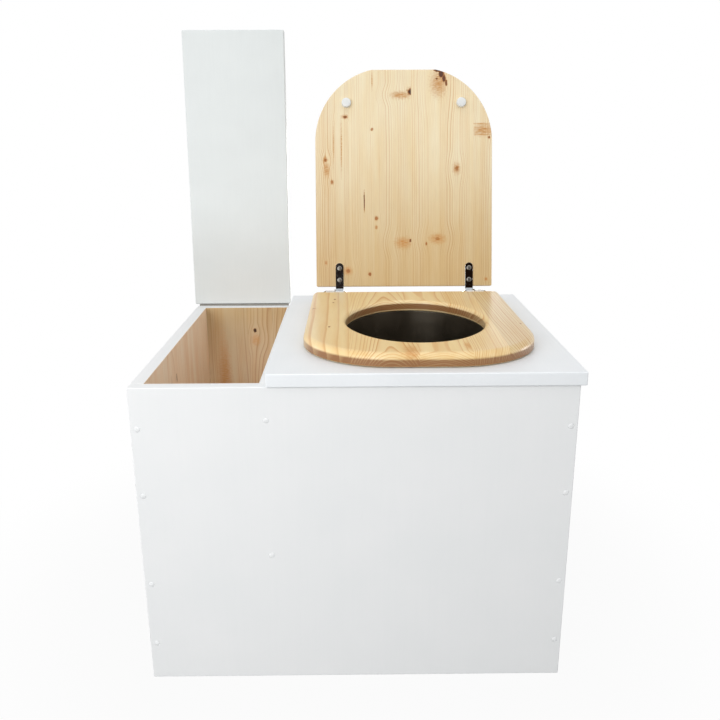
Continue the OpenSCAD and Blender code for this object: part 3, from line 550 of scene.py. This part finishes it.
def ovalHole(middle, look):  # outline of the seat hole, grown by a negative inset
    half, ends = look["half"], look["endShare"] * look["half"][0]
    shift = half[1] - ends
    flank = (half[0] ** 2 + shift ** 2 - ends ** 2) / (2 * half[0] - 2 * ends)
    off = flank - half[0]
    meet = math.degrees(math.atan2(shift, off))

    def outline(inset):
        parts = (((-off, 0), flank, -meet, meet), ((0, shift), ends, meet, 180 - meet),
                 ((off, 0), flank, 180 - meet, 180 + meet), ((0, -shift), ends, 180 + meet, 360 - meet))
        points = [p for c, r, a, b in parts for p in arc(c, r - inset, a, b, look["steps"])[:-1]]
        return [(middle[0] + x, middle[1] + y) for x, y in points]
    return outline


def roundedSide(height, top, bottom, steps=6):  # (inset, height) pairs up a side whose two edges are rounded
    return ([(bottom - x, y + bottom) for x, y in arc((0, 0), bottom, -90, 0, steps)]
            + [(top - x, y + height - top) for x, y in arc((0, 0), top, 0, 90, steps)])


def platePiece(name, outer, side, hole=None, holeSide=None, lift=0.0):  # millimetres in, metres out
    bm = bmesh.new()
    rims = []
    for outline, profile in ((outer, side), (hole, holeSide)):
        if outline is None:
            continue
        loops = [[bm.verts.new((x * mm, y * mm, (z + lift) * mm)) for x, y in outline(inset)] for inset, z in profile]
        for low, high in zip(loops, loops[1:]):
            for i in range(len(low)):
                bm.faces.new((low[i - 1], low[i], high[i], high[i - 1]))
        rims.append((loops[0], loops[-1]))
    for end in (0, 1):
        if hole is None:
            bm.faces.new(rims[0][end])
        else:
            edges = [bm.edges.get((rim[end][i - 1], rim[end][i])) for rim in rims for i in range(len(rim[end]))]
            bmesh.ops.triangle_fill(bm, edges=edges, use_beauty=True)
    bmesh.ops.remove_doubles(bm, verts=bm.verts[:], dist=1e-6)
    bmesh.ops.recalc_face_normals(bm, faces=bm.faces[:])
    return fromBm(name, bm)


# node trees: turned pieces, patterns set on points, and one leaf of a piano hinge

shapeOnly = {"Geometry": ("Geometry",)}


def closeTree(tree, shape, material):
    real = addNode(tree, "RealizeInstances", [shape])
    dressed = addNode(tree, "SetMaterial", {"Geometry": real, "Material": material})
    addNode(tree, "NodeGroupOutput", [dressed])
    return tree


def latheTree():  # spins the profile points, drawn in X and Z, round the Z axis
    inputs = shapeOnly | {"Int": ("Steps",), "Material": ("Material",)}
    tree, given, add = newTree("turnedPiece", "Geometry", inputs, shapeOnly)
    count = add("AttributeDomainSize", [given["Geometry"]]).outputs["Point Count"]
    around = add("Math", [given["Steps"], 1], "ADD")
    grid = add("MeshGrid", {"Vertices X": around, "Vertices Y": count})
    index = add("InputIndex")
    along = add("Math", [index, count], "MODULO")
    part = add("Math", [index, count], "DIVIDE")
    step = add("Math", [part], "FLOOR")
    turn = add("Math", [step, given["Steps"]], "DIVIDE")
    angle = add("Math", [turn, 2 * math.pi], "MULTIPLY")
    place = add("InputPosition")
    point = add("SampleIndex", {"Geometry": given["Geometry"], "Value": place, "Index": along},
                data_type="FLOAT_VECTOR")
    spun = add("VectorRotate", {"Vector": point, "Angle": angle}, rotation_type="Z_AXIS")
    shape = add("SetPosition", {"Geometry": grid, "Position": spun})
    closed = add("MergeByDistance", {"Geometry": shape, "Distance": 1e-6})
    return closeTree(tree, closed, given["Material"])


def spreadTree():  # one pattern on every point, each spun by chance about its own axis
    inputs = shapeOnly | {"Object": ("Pattern",), "Vector": ("Turn",), "Float": ("Spin",), "Int": ("Seed",),
                          "Material": ("Material",)}
    tree, given, add = newTree("spreadPattern", "Geometry", inputs, shapeOnly)
    pattern = add("GeometryNodeObjectInfo", {"Object": given["Pattern"]}).outputs["Geometry"]
    placed = add("InstanceOnPoints", {"Points": given["Geometry"], "Instance": pattern, "Rotation": given["Turn"]})
    chance = add("RandomValue", {"Seed": given["Seed"]}, data_type="FLOAT")
    spin = add("Math", [chance, given["Spin"]], "MULTIPLY")
    around = add("CombineXYZ", {2: spin})
    spun = add("RotateInstances", {"Instances": placed, "Rotation": around})
    return closeTree(tree, spun, given["Material"])


def leafTree():  # a plate along X and every second knuckle, the axis on Y = Z = 0
    lengths = ("Length", "Side", "Barrel Radius", "Gap", "Thickness", "Start", "Height")
    inputs = shapeOnly | {"Float": lengths, "Int": ("Knuckles", "First"), "Material": ("Material",)}
    tree, given, add = newTree("pianoLeaf", "Geometry", inputs, shapeOnly)
    size = {output.name: output for output in given}
    for name, operation, *terms in (
            ("pitch", "DIVIDE", "Length", "Knuckles"), ("left", "SUBTRACT", "Knuckles", "First"),
            ("pairs", "DIVIDE", "left", 2.0), ("count", "CEIL", "pairs"), ("middle", "ADD", "First", 0.5),
            ("start", "MULTIPLY", "middle", "pitch"), ("twice", "MULTIPLY", "pitch", 2.0),
            ("wide", "SUBTRACT", "pitch", "Gap"), ("half", "MULTIPLY", "Thickness", 0.5),
            ("back", "SUBTRACT", "half", "Barrel Radius"), ("tabHalf", "MULTIPLY", "Start", 0.5),
            ("tabUp", "MULTIPLY", "tabHalf", "Side"), ("tall", "SUBTRACT", "Height", "Start"),
            ("both", "ADD", "Start", "Height"), ("mid", "MULTIPLY", "both", 0.5), ("up", "MULTIPLY", "mid", "Side"),
            ("in", "MULTIPLY", "Length", 0.5)):
        size[name] = add("Math", [size.get(term, term) for term in terms], operation)
    point = {name: add("CombineXYZ", [size.get(term, term) for term in terms]) for name, *terms in (
        ("first", "start"), ("step", "twice"), ("tabSize", "wide", "Thickness", "Start"), ("tabAt", 0, "back", "tabUp"),
        ("plateSize", "Length", "Thickness", "tall"), ("plateAt", "in", "back", "up"))}
    points = add("MeshLine", {"Count": size["count"], "Start Location": point["first"], "Offset": point["step"]})
    barrel = add("MeshCylinder", {"Vertices": 24, "Radius": size["Barrel Radius"], "Depth": size["wide"]})
    lying = add("Transform", {"Geometry": barrel, "Rotation": (0, math.pi / 2, 0)})
    tab, plate = [add("Transform", {"Geometry": add("MeshCube", {"Size": point[name + "Size"]}),
                                    "Translation": point[name + "At"]}) for name in ("tab", "plate")]
    join = add("JoinGeometry", [plate])
    for shape in (lying, tab):
        plug(add("InstanceOnPoints", {"Points": points, "Instance": shape}), join.inputs[0])
    return closeTree(tree, join, given["Material"])


turnedPiece, spreadPattern, pianoLeaf = latheTree(), spreadTree(), leafTree()


def growTree(name, points, tree, values):  # sets the tree's inputs by identifier and keeps the mesh
    mesh = bpy.data.meshes.new(name)
    mesh.from_pydata([tuple(p) for p in points], [], [])
    piece = addToScene(name, mesh)
    modifier = piece.modifiers.new("grow", "NODES")
    modifier.node_group = tree
    for item in tree.interface.items_tree:
        if item.in_out == "INPUT" and item.name in values:
            modifier[item.identifier] = values[item.name]
    return makePlain(piece)


def turned(name, profile, material, steps=64):  # profile of (radius, height) in millimetres
    piece = growTree(name, [(r * mm, 0, z * mm) for r, z in profile], turnedPiece,
                     {"Steps": steps, "Material": material})
    bm = bmesh.new()
    bm.from_mesh(piece.data)
    bmesh.ops.recalc_face_normals(bm, faces=bm.faces[:])
    bm.to_mesh(piece.data)
    bm.free()
    return piece


def spread(name, pattern, points, turn, material, spin=0.0, seed=1):
    return growTree(name, points, spreadPattern, {"Pattern": pattern, "Turn": turn, "Spin": spin, "Seed": seed,
                                                  "Material": material})


def spreadPiece(name, pattern, points, turn, material, body, node, spin=0.0, seed=1, move=still):
    piece = spread(name, pattern, points, turn, material, spin, seed)
    piece.data.transform(move)
    finishPiece(piece, body, [node])


upTurn, downTurn = (0.0, 0.0, 0.0), (math.pi, 0.0, 0.0)
frontTurn, backTurn = (math.pi / 2, 0.0, 0.0), (-math.pi / 2, 0.0, 0.0)
patterns = []  # shapes that are only repeated, taken out of the scene at the end


def screwPattern(name, look, material):  # cross-head screw with its seat on Z = 0 and its shank below
    r, top, long = look["radius"], look["height"], look["length"]
    dome = [(r * math.sin(a), top * (look["rim"] + (1 - look["rim"]) * math.cos(a)))
            for a in [math.pi / 2 * i / 7 for i in range(8)]]
    profile = dome + [(r, -look["sink"] * 0.1), (look["shank"], -look["sink"]), (look["shank"], 3 - long), (0, -long)]
    screw = turned(name, profile, material, 28)
    slots = enumerate(((look["cross"], look["slot"]), (look["slot"], look["cross"])))
    cross = [boxPiece(f"{name}Cut{i}", (-x * mm, -y * mm, (top - look["cut"]) * mm), (x * mm, y * mm, (top + 1) * mm))
             for i, (x, y) in slots]
    cutAway(screw, cross)
    patterns.append(screw)
    return screw


screwLook = {"radius": 3.0, "height": 1.0, "rim": 0.3, "length": 14, "shank": 1.5, "sink": 0.01, "cross": 1.7,
             "slot": 0.38, "cut": 0.8}
strapLook = screwLook | {"radius": 4.25, "height": 1.6, "rim": 0.45, "length": 13, "cross": 2.3, "slot": 0.6,
                         "cut": 1.2}
woodScrew = screwPattern("panHeadScrew", screwLook, zincSteel)
strapScrew = screwPattern("strapScrew", strapLook, dullZinc)
print("node trees ready")


# cabinet

cabinetLook = {"ease": 1.3, "innerEase": 0.8, "sink": (4.4, 0.5), "headOut": 0.1,
               "screw": {"radius": 3.9, "height": 1.2, "rim": 0.05, "length": 50, "shank": 2.0, "sink": 3.5,
                         "cross": 1.8, "slot": 0.3, "cut": 0.3}}

backWood = {
    "staves": [(-1000, (-330, -90, 0.01), (3.2, 0.97, 11), 0.7), (-195, (-150, -34, 0.03), (4.2, 1.0, 90), 0.9),
               (-150, (-60, -60, 0.10), (3.6, 0.98, 61), 1.2)],
    "knots": [(-182, 390, 5, 7, 0.7, 1.0, 0.6, 1, 2), (-181, 372, 12, 16, 0, 0, 0.7, 1, 2),
              (-241, 285, 17, 130, 0, 0, 0, 0, 2)],
    "wander": 12, "lines": (0.15, 0.7), "edgeFrom": 0.5, "endShare": 0.4, "endTeeth": 0.0, "relief": 0.05,
    # the darkening from 440 mm down to 300 mm high is painted shade deep inside the box
    "gloss": 0.62, "fade": (440, 300, "#cfc5ae"), "colours": bare | {"halo": "#dba972"},
}
sideWood = backWood | {
    "staves": [(-1000, (-90, -120, 0.0), (3.0, 1.04, 5), 1.0), (-120, (-60, -200, 0.0), (2.6, 1.02, 44), 1.0),
               (20, (70, -90, 0.01), (3.4, 1.0, 71), 1.0), (140, (260, -60, 0.0), (3.2, 1.02, 29), 1.0)],
    "knots": [(-41, 383, 3, 12, 0.7, 0.7, 0.8, 0, 3)],
    "lines": (0.05, 0.5), "fade": (0, 1, "#ffffff"), "colours": bare | {"spring": "#f6e6d0", "blush": "#efd3b5"},
}


def paintedOutside(piece, paint, bareWood, isBare):  # paint where the brush went, bare wood inside
    piece.data.materials.clear()
    piece.data.materials.append(paint)
    piece.data.materials.append(bareWood)
    for polygon in piece.data.polygons:
        polygon.material_index = 1 if isBare(polygon.normal) else 0


def buildCabinet(look):
    backLow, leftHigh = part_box("back_panel")[0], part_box("left_side_panel")[1]
    bareBack = pineWood("barePineBack", backWood, (0, backLow.y, 0), level, upright)
    bareSide = pineWood("barePineSide", sideWood, (leftHigh.x, 0, 0), deep, upright)
    bareFlat = pineWood("barePineFlat", sideWood, (0, 0, 0), level, deep)
    radius, depth = look["sink"]
    sinkShape = turned("sink", [(0, -depth), (radius - 0.4, -depth), (radius, 0.1), (0, 0.1)], paintFront, 28)
    headShape = screwPattern("panelScrew", look["screw"], paintFront)
    for side, node, screws, turn in ((-1, "front_panel", "front_screws", frontTurn),
                                     (1, "back_panel", "back_screws", backTurn)):
        low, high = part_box(node)
        face = low.y if side < 0 else high.y
        spots = [Vector(((a.x + b.x) / 2, face, (a.z + b.z) / 2)) for a, b in solidBoxes(screws)]
        wall = node.split("_")[0] + "Wall"
        board = boxPiece(wall, low, high, look["ease"])
        cutAway(board, [spread("sinks", sinkShape, spots, turn, paintFront)])
        paintedOutside(board, paintFront, bareBack, lambda normal, s=side: normal.y * s < -0.5)
        finishPiece(board, "cabinet", [node])
        seats = [spot - Vector((0, side * (depth - look["headOut"]) * mm, 0)) for spot in spots]
        spreadPiece(wall + "Screws", headShape, seats, turn, paintFront, "cabinet", screws, 3.0,
                    5 + side)
    bpy.data.objects.remove(sinkShape)
    for side, name, node in ((-1, "leftWall", "left_side_panel"), (1, "rightWall", "right_side_panel")):
        board = boxPiece(name, *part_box(node), look["innerEase"])
        paintedOutside(board, paintSide, bareSide, lambda normal, s=side: normal.x * s < -0.5)
        finishPiece(board, "cabinet", [node])
    partition = boxPiece("partitionBoard", *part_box("partition_panel"), look["innerEase"])
    paintedOutside(partition, paintSide, bareSide, lambda normal: normal.z < 0.3)
    finishPiece(partition, "cabinet", ["partition_panel"])
    for name, node in (("litterFloorBoard", "litter_floor"), ("baseBoard", "base_panel")):
        finishPiece(boxPiece(name, *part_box(node), look["innerEase"]), "cabinet", [node], bareFlat)
    for node in ("litter_floor_battens", "base_battens"):
        easedPiece(node, look["innerEase"], "cabinet", bareFlat)


buildCabinet(cabinetLook)
print("cabinet ready")


# litter lid, deck and their piano hinges

def openTurn(joint):  # from a lid's shut place to where it stands at rest
    pivot = Matrix.Translation(joints[joint]["pos_m"])
    swing = Matrix.Rotation(math.radians(joints[joint]["range_deg"][0]), 4, "X")
    return pivot @ swing @ pivot.inverted()


litterOpen, lidOpen = openTurn("litter_lid_hinge"), openTurn("toilet_lid_hinge")


def shutBox(node, opened):  # a node's box in millimetres, with its lid swung shut
    boxes = solidBoxes(node, opened.inverted())
    low = Vector([min(box[0][i] for box in boxes) for i in range(3)])
    high = Vector([max(box[1][i] for box in boxes) for i in range(3)])
    return low / mm, high / mm


boardLook = {"deckRound": 1.6, "lidRound": 1.8, "holeRound": 1.0, "corner": 2.0,
             "holeGrow": 4.5}  # how much wider the deck's hole is than the seat's, all round


def buildLitterLid(look):
    low, high = shutBox("litter_lid", litterOpen)
    side = roundedSide(high.z - low.z, look["lidRound"], look["lidRound"], 4)
    board = platePiece("litterLidBoard", roundedPlate(low, high, look["corner"], look["corner"]), side, lift=low.z)
    board.data.transform(litterOpen)
    finishPiece(board, "litter_lid", ["litter_lid"], paintLid)


def buildDeck(look):
    low, high = boxMm("deck")
    thick = high.z - low.z
    hole = [(-look["holeGrow"] - inset, z) for inset, z in roundedSide(thick, look["holeRound"], look["holeRound"], 3)]
    side = roundedSide(thick, look["deckRound"], look["deckRound"], 4)
    board = platePiece("deckBoard", roundedPlate(low, high, look["corner"], look["corner"]), side,
                       ovalHole(holeMiddle, holeLook), hole, lift=low.z)
    finishPiece(board, "deck", ["deck"], paintFlat)


buildLitterLid(boardLook)
buildDeck(boardLook)

hingeLook = {"pitch": 12.5, "values": {"Barrel Radius": 2.5 * mm, "Gap": 0.3 * mm, "Thickness": 1.2 * mm,
                                       "Start": 2.8 * mm, "Height": 15 * mm}}


def buildPianoHinge(name, prefix, lidBody, opened, look):
    low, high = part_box(prefix + "_wire")
    length = high.x - low.x
    axis = Vector((low.x, (low.y + high.y) / 2, (low.z + high.z) / 2))
    count = 2 * math.floor(length / mm / look["pitch"] / 2) + 1
    fixedScrews = solidBoxes(prefix + "_fixed_screws")
    outer = axis.y - look["values"]["Barrel Radius"] + look["values"]["Thickness"]
    for side, first, part, body, turn in ((-1.0, 0, "Fixed", "cabinet", still),
                                          (1.0, 1, "Moving", lidBody, opened)):
        leaf = growTree(f"{name}{part}Leaf", [(0, 0, 0)], pianoLeaf,
                        {"Length": length, "Knuckles": count, "First": first, "Side": side, "Material": dullZinc}
                        | look["values"])
        leaf.data.transform(turn @ Matrix.Translation(axis))
        finishPiece(leaf, body, [f"{prefix}_{part.lower()}_leaf"])
        spots = [((a.x + b.x) / 2, outer, (a.z + b.z) / 2) for a, b in fixedScrews]
        if side > 0:
            spots = [(x, y, 2 * axis.z - z) for x, y, z in spots]
        spreadPiece(f"{name}{part}Screws", woodScrew, spots, backTurn, zincSteel, body,
                    f"{prefix}_{part.lower()}_screws", 3.0, 11 + first, turn)
    wire = frame["nodes"][prefix + "_wire"]
    wire.data.materials.clear()
    wire.data.materials.append(dullZinc)


buildPianoHinge("litterHinge", "litter_hinge", "litter_lid", litterOpen, hingeLook)
buildPianoHinge("deckHinge", "deck_hinge", "deck", still, hingeLook)
print("litter lid, deck and piano hinges ready")


# seat

seatLook = {"corner": 122, "backCorner": 1.5, "backEase": 0.8, "top": 10, "bottom": 0.4, "holeTop": 6, "holeBottom": 4,
            "groove": (14.8, 5.9, 1.0, 5),  # width, depth, play before a strap, and how far the cutter stands out
            "pad": (7.0, 0.6, 0.5)}  # radius, and how far its lower edge is cut in and up

seatWood = {
    "staves": [(-1000, (-230, -30, 0.03), (15.0, 0.985, 3), 0.75), (-98, (-42, -46, 0.06), (3.6, 1.0, 17), 1.1),
               (-7, (20, -90, 0.0), (2.9, 1.01, 52), 0.8), (62, (165, -40, 0.05), (3.0, 0.99, 23), 1.2),
               # the last stave's tone of 0.85 darkens the seat's right side: painted shade against the sheen of light
               # there
               (112, (60, -60, 0.02), (2.8, 0.85, 8), 1.6)],
    "knots": [(-17, -203, 15, 34, 0, 0, 0.1, 0, 1), (59, -184, 8, 24, 0, 0, 0.1, 0, 2),
              (-123, 107, 3, 6, 0.7, 0.7, 0.5, 0, 4), (-125, 82, 3, 5, 0.7, 0.7, 0.5, 0, 4),
              (-127, -79, 3, 6, 0.7, 0.7, 0.5, 0, 4), (-155, 40, 3, 4, 0.6, 0.7, 0.5, 0, 4),
              (152, -67, 3, 4, 0.6, 0.7, 0.5, 0, 4)],
    # the wide, deep end band is end grain darkening and painted shade under the seat's front edge
    "wander": 9, "lines": (0.3, 0.95), "edgeFrom": 0.28, "endShare": 0.85, "endTeeth": 0.6, "relief": 0.04,
    "gloss": 0.36, "fade": (-220, 100, "#fbf6ec"), "colours": varnished | {"spring": "#f2dcac", "blush": "#e9c98e"},
}


def buildSeat(look):
    low, high = boxMm("seat_ring")
    thick = high.z - low.z
    hole = [(-inset, z) for inset, z in roundedSide(thick, look["holeTop"], look["holeBottom"])]
    ring = platePiece("seatRing", roundedPlate(low, high, look["corner"], look["backCorner"], 0.0, look["backEase"]),
                      roundedSide(thick, look["top"], look["bottom"]), ovalHole(holeMiddle, holeLook), hole, lift=low.z)
    cuts = []
    width, depth, play, spare = look["groove"]
    for node in ("left_seat_strap", "right_seat_strap"):
        strapLow, strapHigh = boxMm(node)
        x = (strapLow.x + strapHigh.x) / 2
        cuts.append(boxPiece("groove", ((x - width / 2) * mm, (strapLow.y - play) * mm, (low.z - spare) * mm),
                             ((x + width / 2) * mm, (high.y + spare) * mm, (low.z + depth) * mm)))
    cutAway(ring, cuts)
    wood = pineWood("varnishedPineSeat", seatWood, (holeMiddle.x * mm, 0, high.z * mm), level, deep, IOR=1.5,
                    Coat_Weight=0.15, Coat_Roughness=0.2)
    finishPiece(ring, "seat", ["seat_ring"], wood)

    padLow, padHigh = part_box("seat_feet")
    (radius, lessWide, up), tall = look["pad"], (padHigh.z - padLow.z) / mm
    pad = turned("seatPad", [(0, 0), (radius - lessWide, 0), (radius, up), (radius, tall), (0, tall)], whitePlastic, 32)
    patterns.append(pad)
    spreadPiece("seatPads", pad, spotsOn("seat_feet", 0), upTurn, whitePlastic, "seat", "seat_feet")
    spots = spotsOn("seat_strap_screws", 0, strapLook["height"])
    spreadPiece("seatStrapScrews", strapScrew, spots, downTurn, dullZinc, "seat", "seat_strap_screws",
                3.0, 21)


buildSeat(seatLook)
print("seat ready")


# toilet lid

lidLook = {"corner": 130, "blunt": 3.3, "backCorner": 2.5, "top": 3.6, "bottom": 1.6, "woodReach": 382,
           "buffer": [(0, 7.7), (5.8, 7.7), (7.1, 7.4), (8.0, 6.7), (8.5, 5.4), (8.5, 0.6), (8.1, 0), (0, 0)]}

lidWood = {
    "staves": [(-1000, (-215, -50, 0.0), (2.6, 0.985, 3), 1.5), (-99, (-260, -70, 0.01), (3.2, 1.0, 40), 0.6),
               (-53, (-160, -70, 0.0), (2.9, 0.997, 77), 0.8), (13, (-58, -64, 0.0), (3.0, 1.02, 19), 1.0),
               (125, (300, -60, 0.01), (2.8, 1.01, 58), 1.1)],
    "knots": [(14, 343, 14, 13, 0.62, 1.0, 0.15, 2, 2), (-6, 337, 26, 10, 0, 0, 0.3, 2, 2),
              (62, 382, 15, 9, 0.7, 0.95, 0.1, 3, 3), (67, 374, 9, 12, 0.7, 0.95, 0.1, 3, 3),
              (72, 366, 6, 12, 0.7, 0.9, 0.1, 3, 3), (76, 358, 3.5, 10, 0.7, 0.8, 0.1, 3, 3),
              (59, 365.5, 4, 4, 0.6, 0.8, 0.1, 3, 3), (62, 358, 21, 36, 0, 0, 0.35, 3, 3),
              (-105, 299, 11, 6, 0.42, 0.75, 0.4, 0, 0), (142, 275, 30, 15, 0, 0, 0.2, 4, 4),
              (139, 286, 28, 2.4, 0, 0, 0, 4, 4), (141, 267, 26, 2.8, 0, 0, 0, 4, 4),
              (153, 262, 4, 5, 0.6, 0.6, 0.2, 4, 4), (-112, 245, 2.0, 66, 0, 0, 0, 0, 0),
              (-126, 250, 1.6, 50, 0, 0, 0, 0, 0), (-56.5, 363, 1.8, 24, 0, 0, 0, 1, 1),
              (-57, 277, 4, 5, 0.7, 0.35, 0.4, 1, 1), (-141, 223, 7, 9, 0.4, 0.55, 0.7, 0, 0),
              (-139, 206, 8, 20, 0, 0, 0.4, 0, 0), (-129, 184, 5, 7, 0.6, 0.4, 0.5, 0, 0),
              (-71.5, 149, 1.6, 27, 0.8, 0.9, 0.9, 1, 1), (-50, 119, 6, 7, 0.7, 0.42, 0.5, 2, 2),
              (-50, 103, 4, 6, 0.7, 0.2, 0.4, 2, 2), (95, 207, 10, 16, 0.4, 0.4, 0.6, 3, 3),
              (-1, 75, 23, 15, 0, 0, 0.4, 2, 2), (12, 79, 5, 5, 0.7, 0.8, 0.2, 2, 2),
              (60, 82, 21, 14, 0.25, 0.3, 0.35, 3, 3), (40, 73, 3, 6, 0.6, 0.5, 0.3, 3, 3),
              (-101, 25, 12, 11, 0.4, 0.45, 0.5, 0, 4), (-62, 19, 5, 6, 0.7, 0.6, 0.4, 1, 1),
              (-141, 40, 4, 6, 0.6, 0.18, 0.4, 0, 0), (148, 9, 5, 5, 0.5, 0.2, 0.4, 4, 4)],
    "wander": 7, "lines": (0.15, 0.65), "edgeFrom": 0.6, "endShare": 0.8, "endTeeth": 0.3, "relief": 0.04,
    # the darkening towards the hinge end, the lower end as the lid stands open, is painted shade
    "gloss": 0.36, "fade": (-20, 300, "#dbccb1"), "colours": varnished,
}


def buildToiletLid(look):
    low, high = shutBox("toilet_lid", lidOpen)
    board = platePiece("toiletLidBoard", roundedPlate(low, high, look["corner"], look["backCorner"], look["blunt"]),
                       roundedSide(high.z - low.z, look["top"], look["bottom"]), lift=low.z)
    board.data.transform(lidOpen)
    origin = lidOpen @ (Vector(((low.x + high.x) / 2, low.y + look["woodReach"], low.z)) * mm)
    along = lidOpen.to_3x3() @ Vector((0, -1, 0))
    wood = pineWood("varnishedPineLid", lidWood, origin, level, along, IOR=1.5, Coat_Weight=0.2, Coat_Roughness=0.18)
    finishPiece(board, "toilet_lid", ["toilet_lid"], wood)

    buffer = turned("buffer", look["buffer"], whitePlastic, 40)
    patterns.append(buffer)
    spots = [((a.x + b.x) / 2, (a.y + b.y) / 2, low.z * mm) for a, b in solidBoxes("lid_buffers", lidOpen.inverted())]
    spreadPiece("lidBuffers", buffer, spots, downTurn, whitePlastic, "toilet_lid", "lid_buffers",
                move=lidOpen)
    spots = spotsOn("lid_strap_screws", 0, strapLook["height"], lidOpen.inverted())
    spreadPiece("lidStrapScrews", strapScrew, spots, downTurn, dullZinc, "toilet_lid", "lid_strap_screws",
                3.0, 31, lidOpen)


buildToiletLid(lidLook)
print("toilet lid ready")


# seat hinges

seatHingeLook = {"foot": 0.6, "strap": 0.5, "pin": 0.4, "bolt": 0.3}


def buildSeatHinges(look):
    for part, body, nodes in (("foot", "deck", ("left_hinge_foot", "right_hinge_foot")),
                              ("pin", "deck", ("hinge_pins",)),
                              ("strap", "seat", ("left_seat_strap", "right_seat_strap")),
                              ("strap", "toilet_lid", ("left_lid_strap", "right_lid_strap"))):
        for node in nodes:
            easedPiece(node, look[part], body, chrome)
    for node in ("foot_bolts", "foot_nuts", "foot_washers"):
        easedPiece(node, look["bolt"], "deck", zincSteel)


buildSeatHinges(seatHingeLook)
print("seat hinges ready")


# splash guard and bucket

guardLook = {"ease": 0.25,
             "screw": screwLook | {"height": 0.6, "length": 10, "cross": 1.6, "slot": 0.36, "cut": 0.45}}
bucketLook = {
    "top": 144, "foot": 108, "height": 345, "sheet": 1.2, "rim": 3.5, "footRound": 6, "steps": 128,
    "beads": (60, 262), "bead": ((-7, 0), (-4, 0.6), (0, 1.2), (4, 0.6), (7, 0)),  # two pressed ribs and their shape
    "earEase": 0.8, "bailEase": 0.4, "bailSharp": 60,
    "grip": {"length": 100, "radius": 10, "bore": 2.86, "chamfer": 1.2, "ribs": 9, "groove": (9.3, 1.2, 2)},
}


def buildGuard(look):
    easedPiece("splash_guard", look["ease"], "deck", stainless)
    spots = spotsOn("guard_screws", 1, -look["screw"]["height"])
    flat = screwPattern("guardScrew", look["screw"], stainless)
    spreadPiece("guardScrews", flat, spots, upTurn, stainless, "deck", "guard_screws", 3.0, 41)


def buildBucket(look):
    low, high = boxMm("bucket")
    middle, wall = (low + high) / 2, look["height"] - look["rim"]
    slope = (look["top"] - look["foot"]) / wall
    t, r = look["sheet"], look["footRound"]
    outside = [(look["foot"] - r, 0), (look["foot"] - 0.3 * r, 0.3 * r), (look["foot"] + slope * r, r)]
    for bead in look["beads"]:
        for rise, out in look["bead"]:
            outside.append((look["foot"] + slope * (bead + rise) + out, bead + rise))
    outside.append((look["top"] - slope * look["rim"], wall - look["rim"]))
    inside = [(x - t, z if z > t else t) for x, z in outside if z > 0]
    curl = arc((look["top"], wall), look["rim"], -105, 180, 14)
    profile = [(0, 0), *outside, *curl, *reversed(inside), (look["foot"] - r, t), (0, t)]
    bucket = turned("bucketShell", profile, stainless, look["steps"])
    bucket.data.transform(Matrix.Translation((middle.x * mm, middle.y * mm, low.z * mm)))
    finishPiece(bucket, "cabinet", ["bucket"])
    easedPiece("bucket_ears", look["earEase"], "cabinet", stainless)
    easedPiece("bucket_bail", look["bailEase"], "bail", stainless, look["bailSharp"])

    grip = look["grip"]
    radius, half, bore, cut = grip["radius"], grip["length"] / 2, grip["bore"], grip["chamfer"]
    inner, floor, mouth = grip["groove"]  # the radius inside it, and half its width at the floor and the mouth
    profile = [(bore, -half), (radius - cut, -half), (radius, -half + cut)]
    pitch = 2 * half / (grip["ribs"] + 1)
    for i in range(1, grip["ribs"] + 1):
        z = -half + i * pitch
        profile += [(radius, z - mouth), (inner, z - floor), (inner, z + floor), (radius, z + mouth)]
    profile += [(radius, half - cut), (radius - cut, half), (bore, half), (bore, -half)]
    handle = turned("bailGrip", profile, blackPlastic, 48)
    gripLow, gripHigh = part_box("bail_grip")
    handle.data.transform(Matrix.Translation((gripLow + gripHigh) / 2) @ Matrix.Rotation(math.pi / 2, 4, "Y"))
    finishPiece(handle, "bail_grip", ["bail_grip"])


buildGuard(guardLook)
buildBucket(bucketLook)
print("guard and bucket ready")

for pattern in patterns:
    bpy.data.objects.remove(pattern)
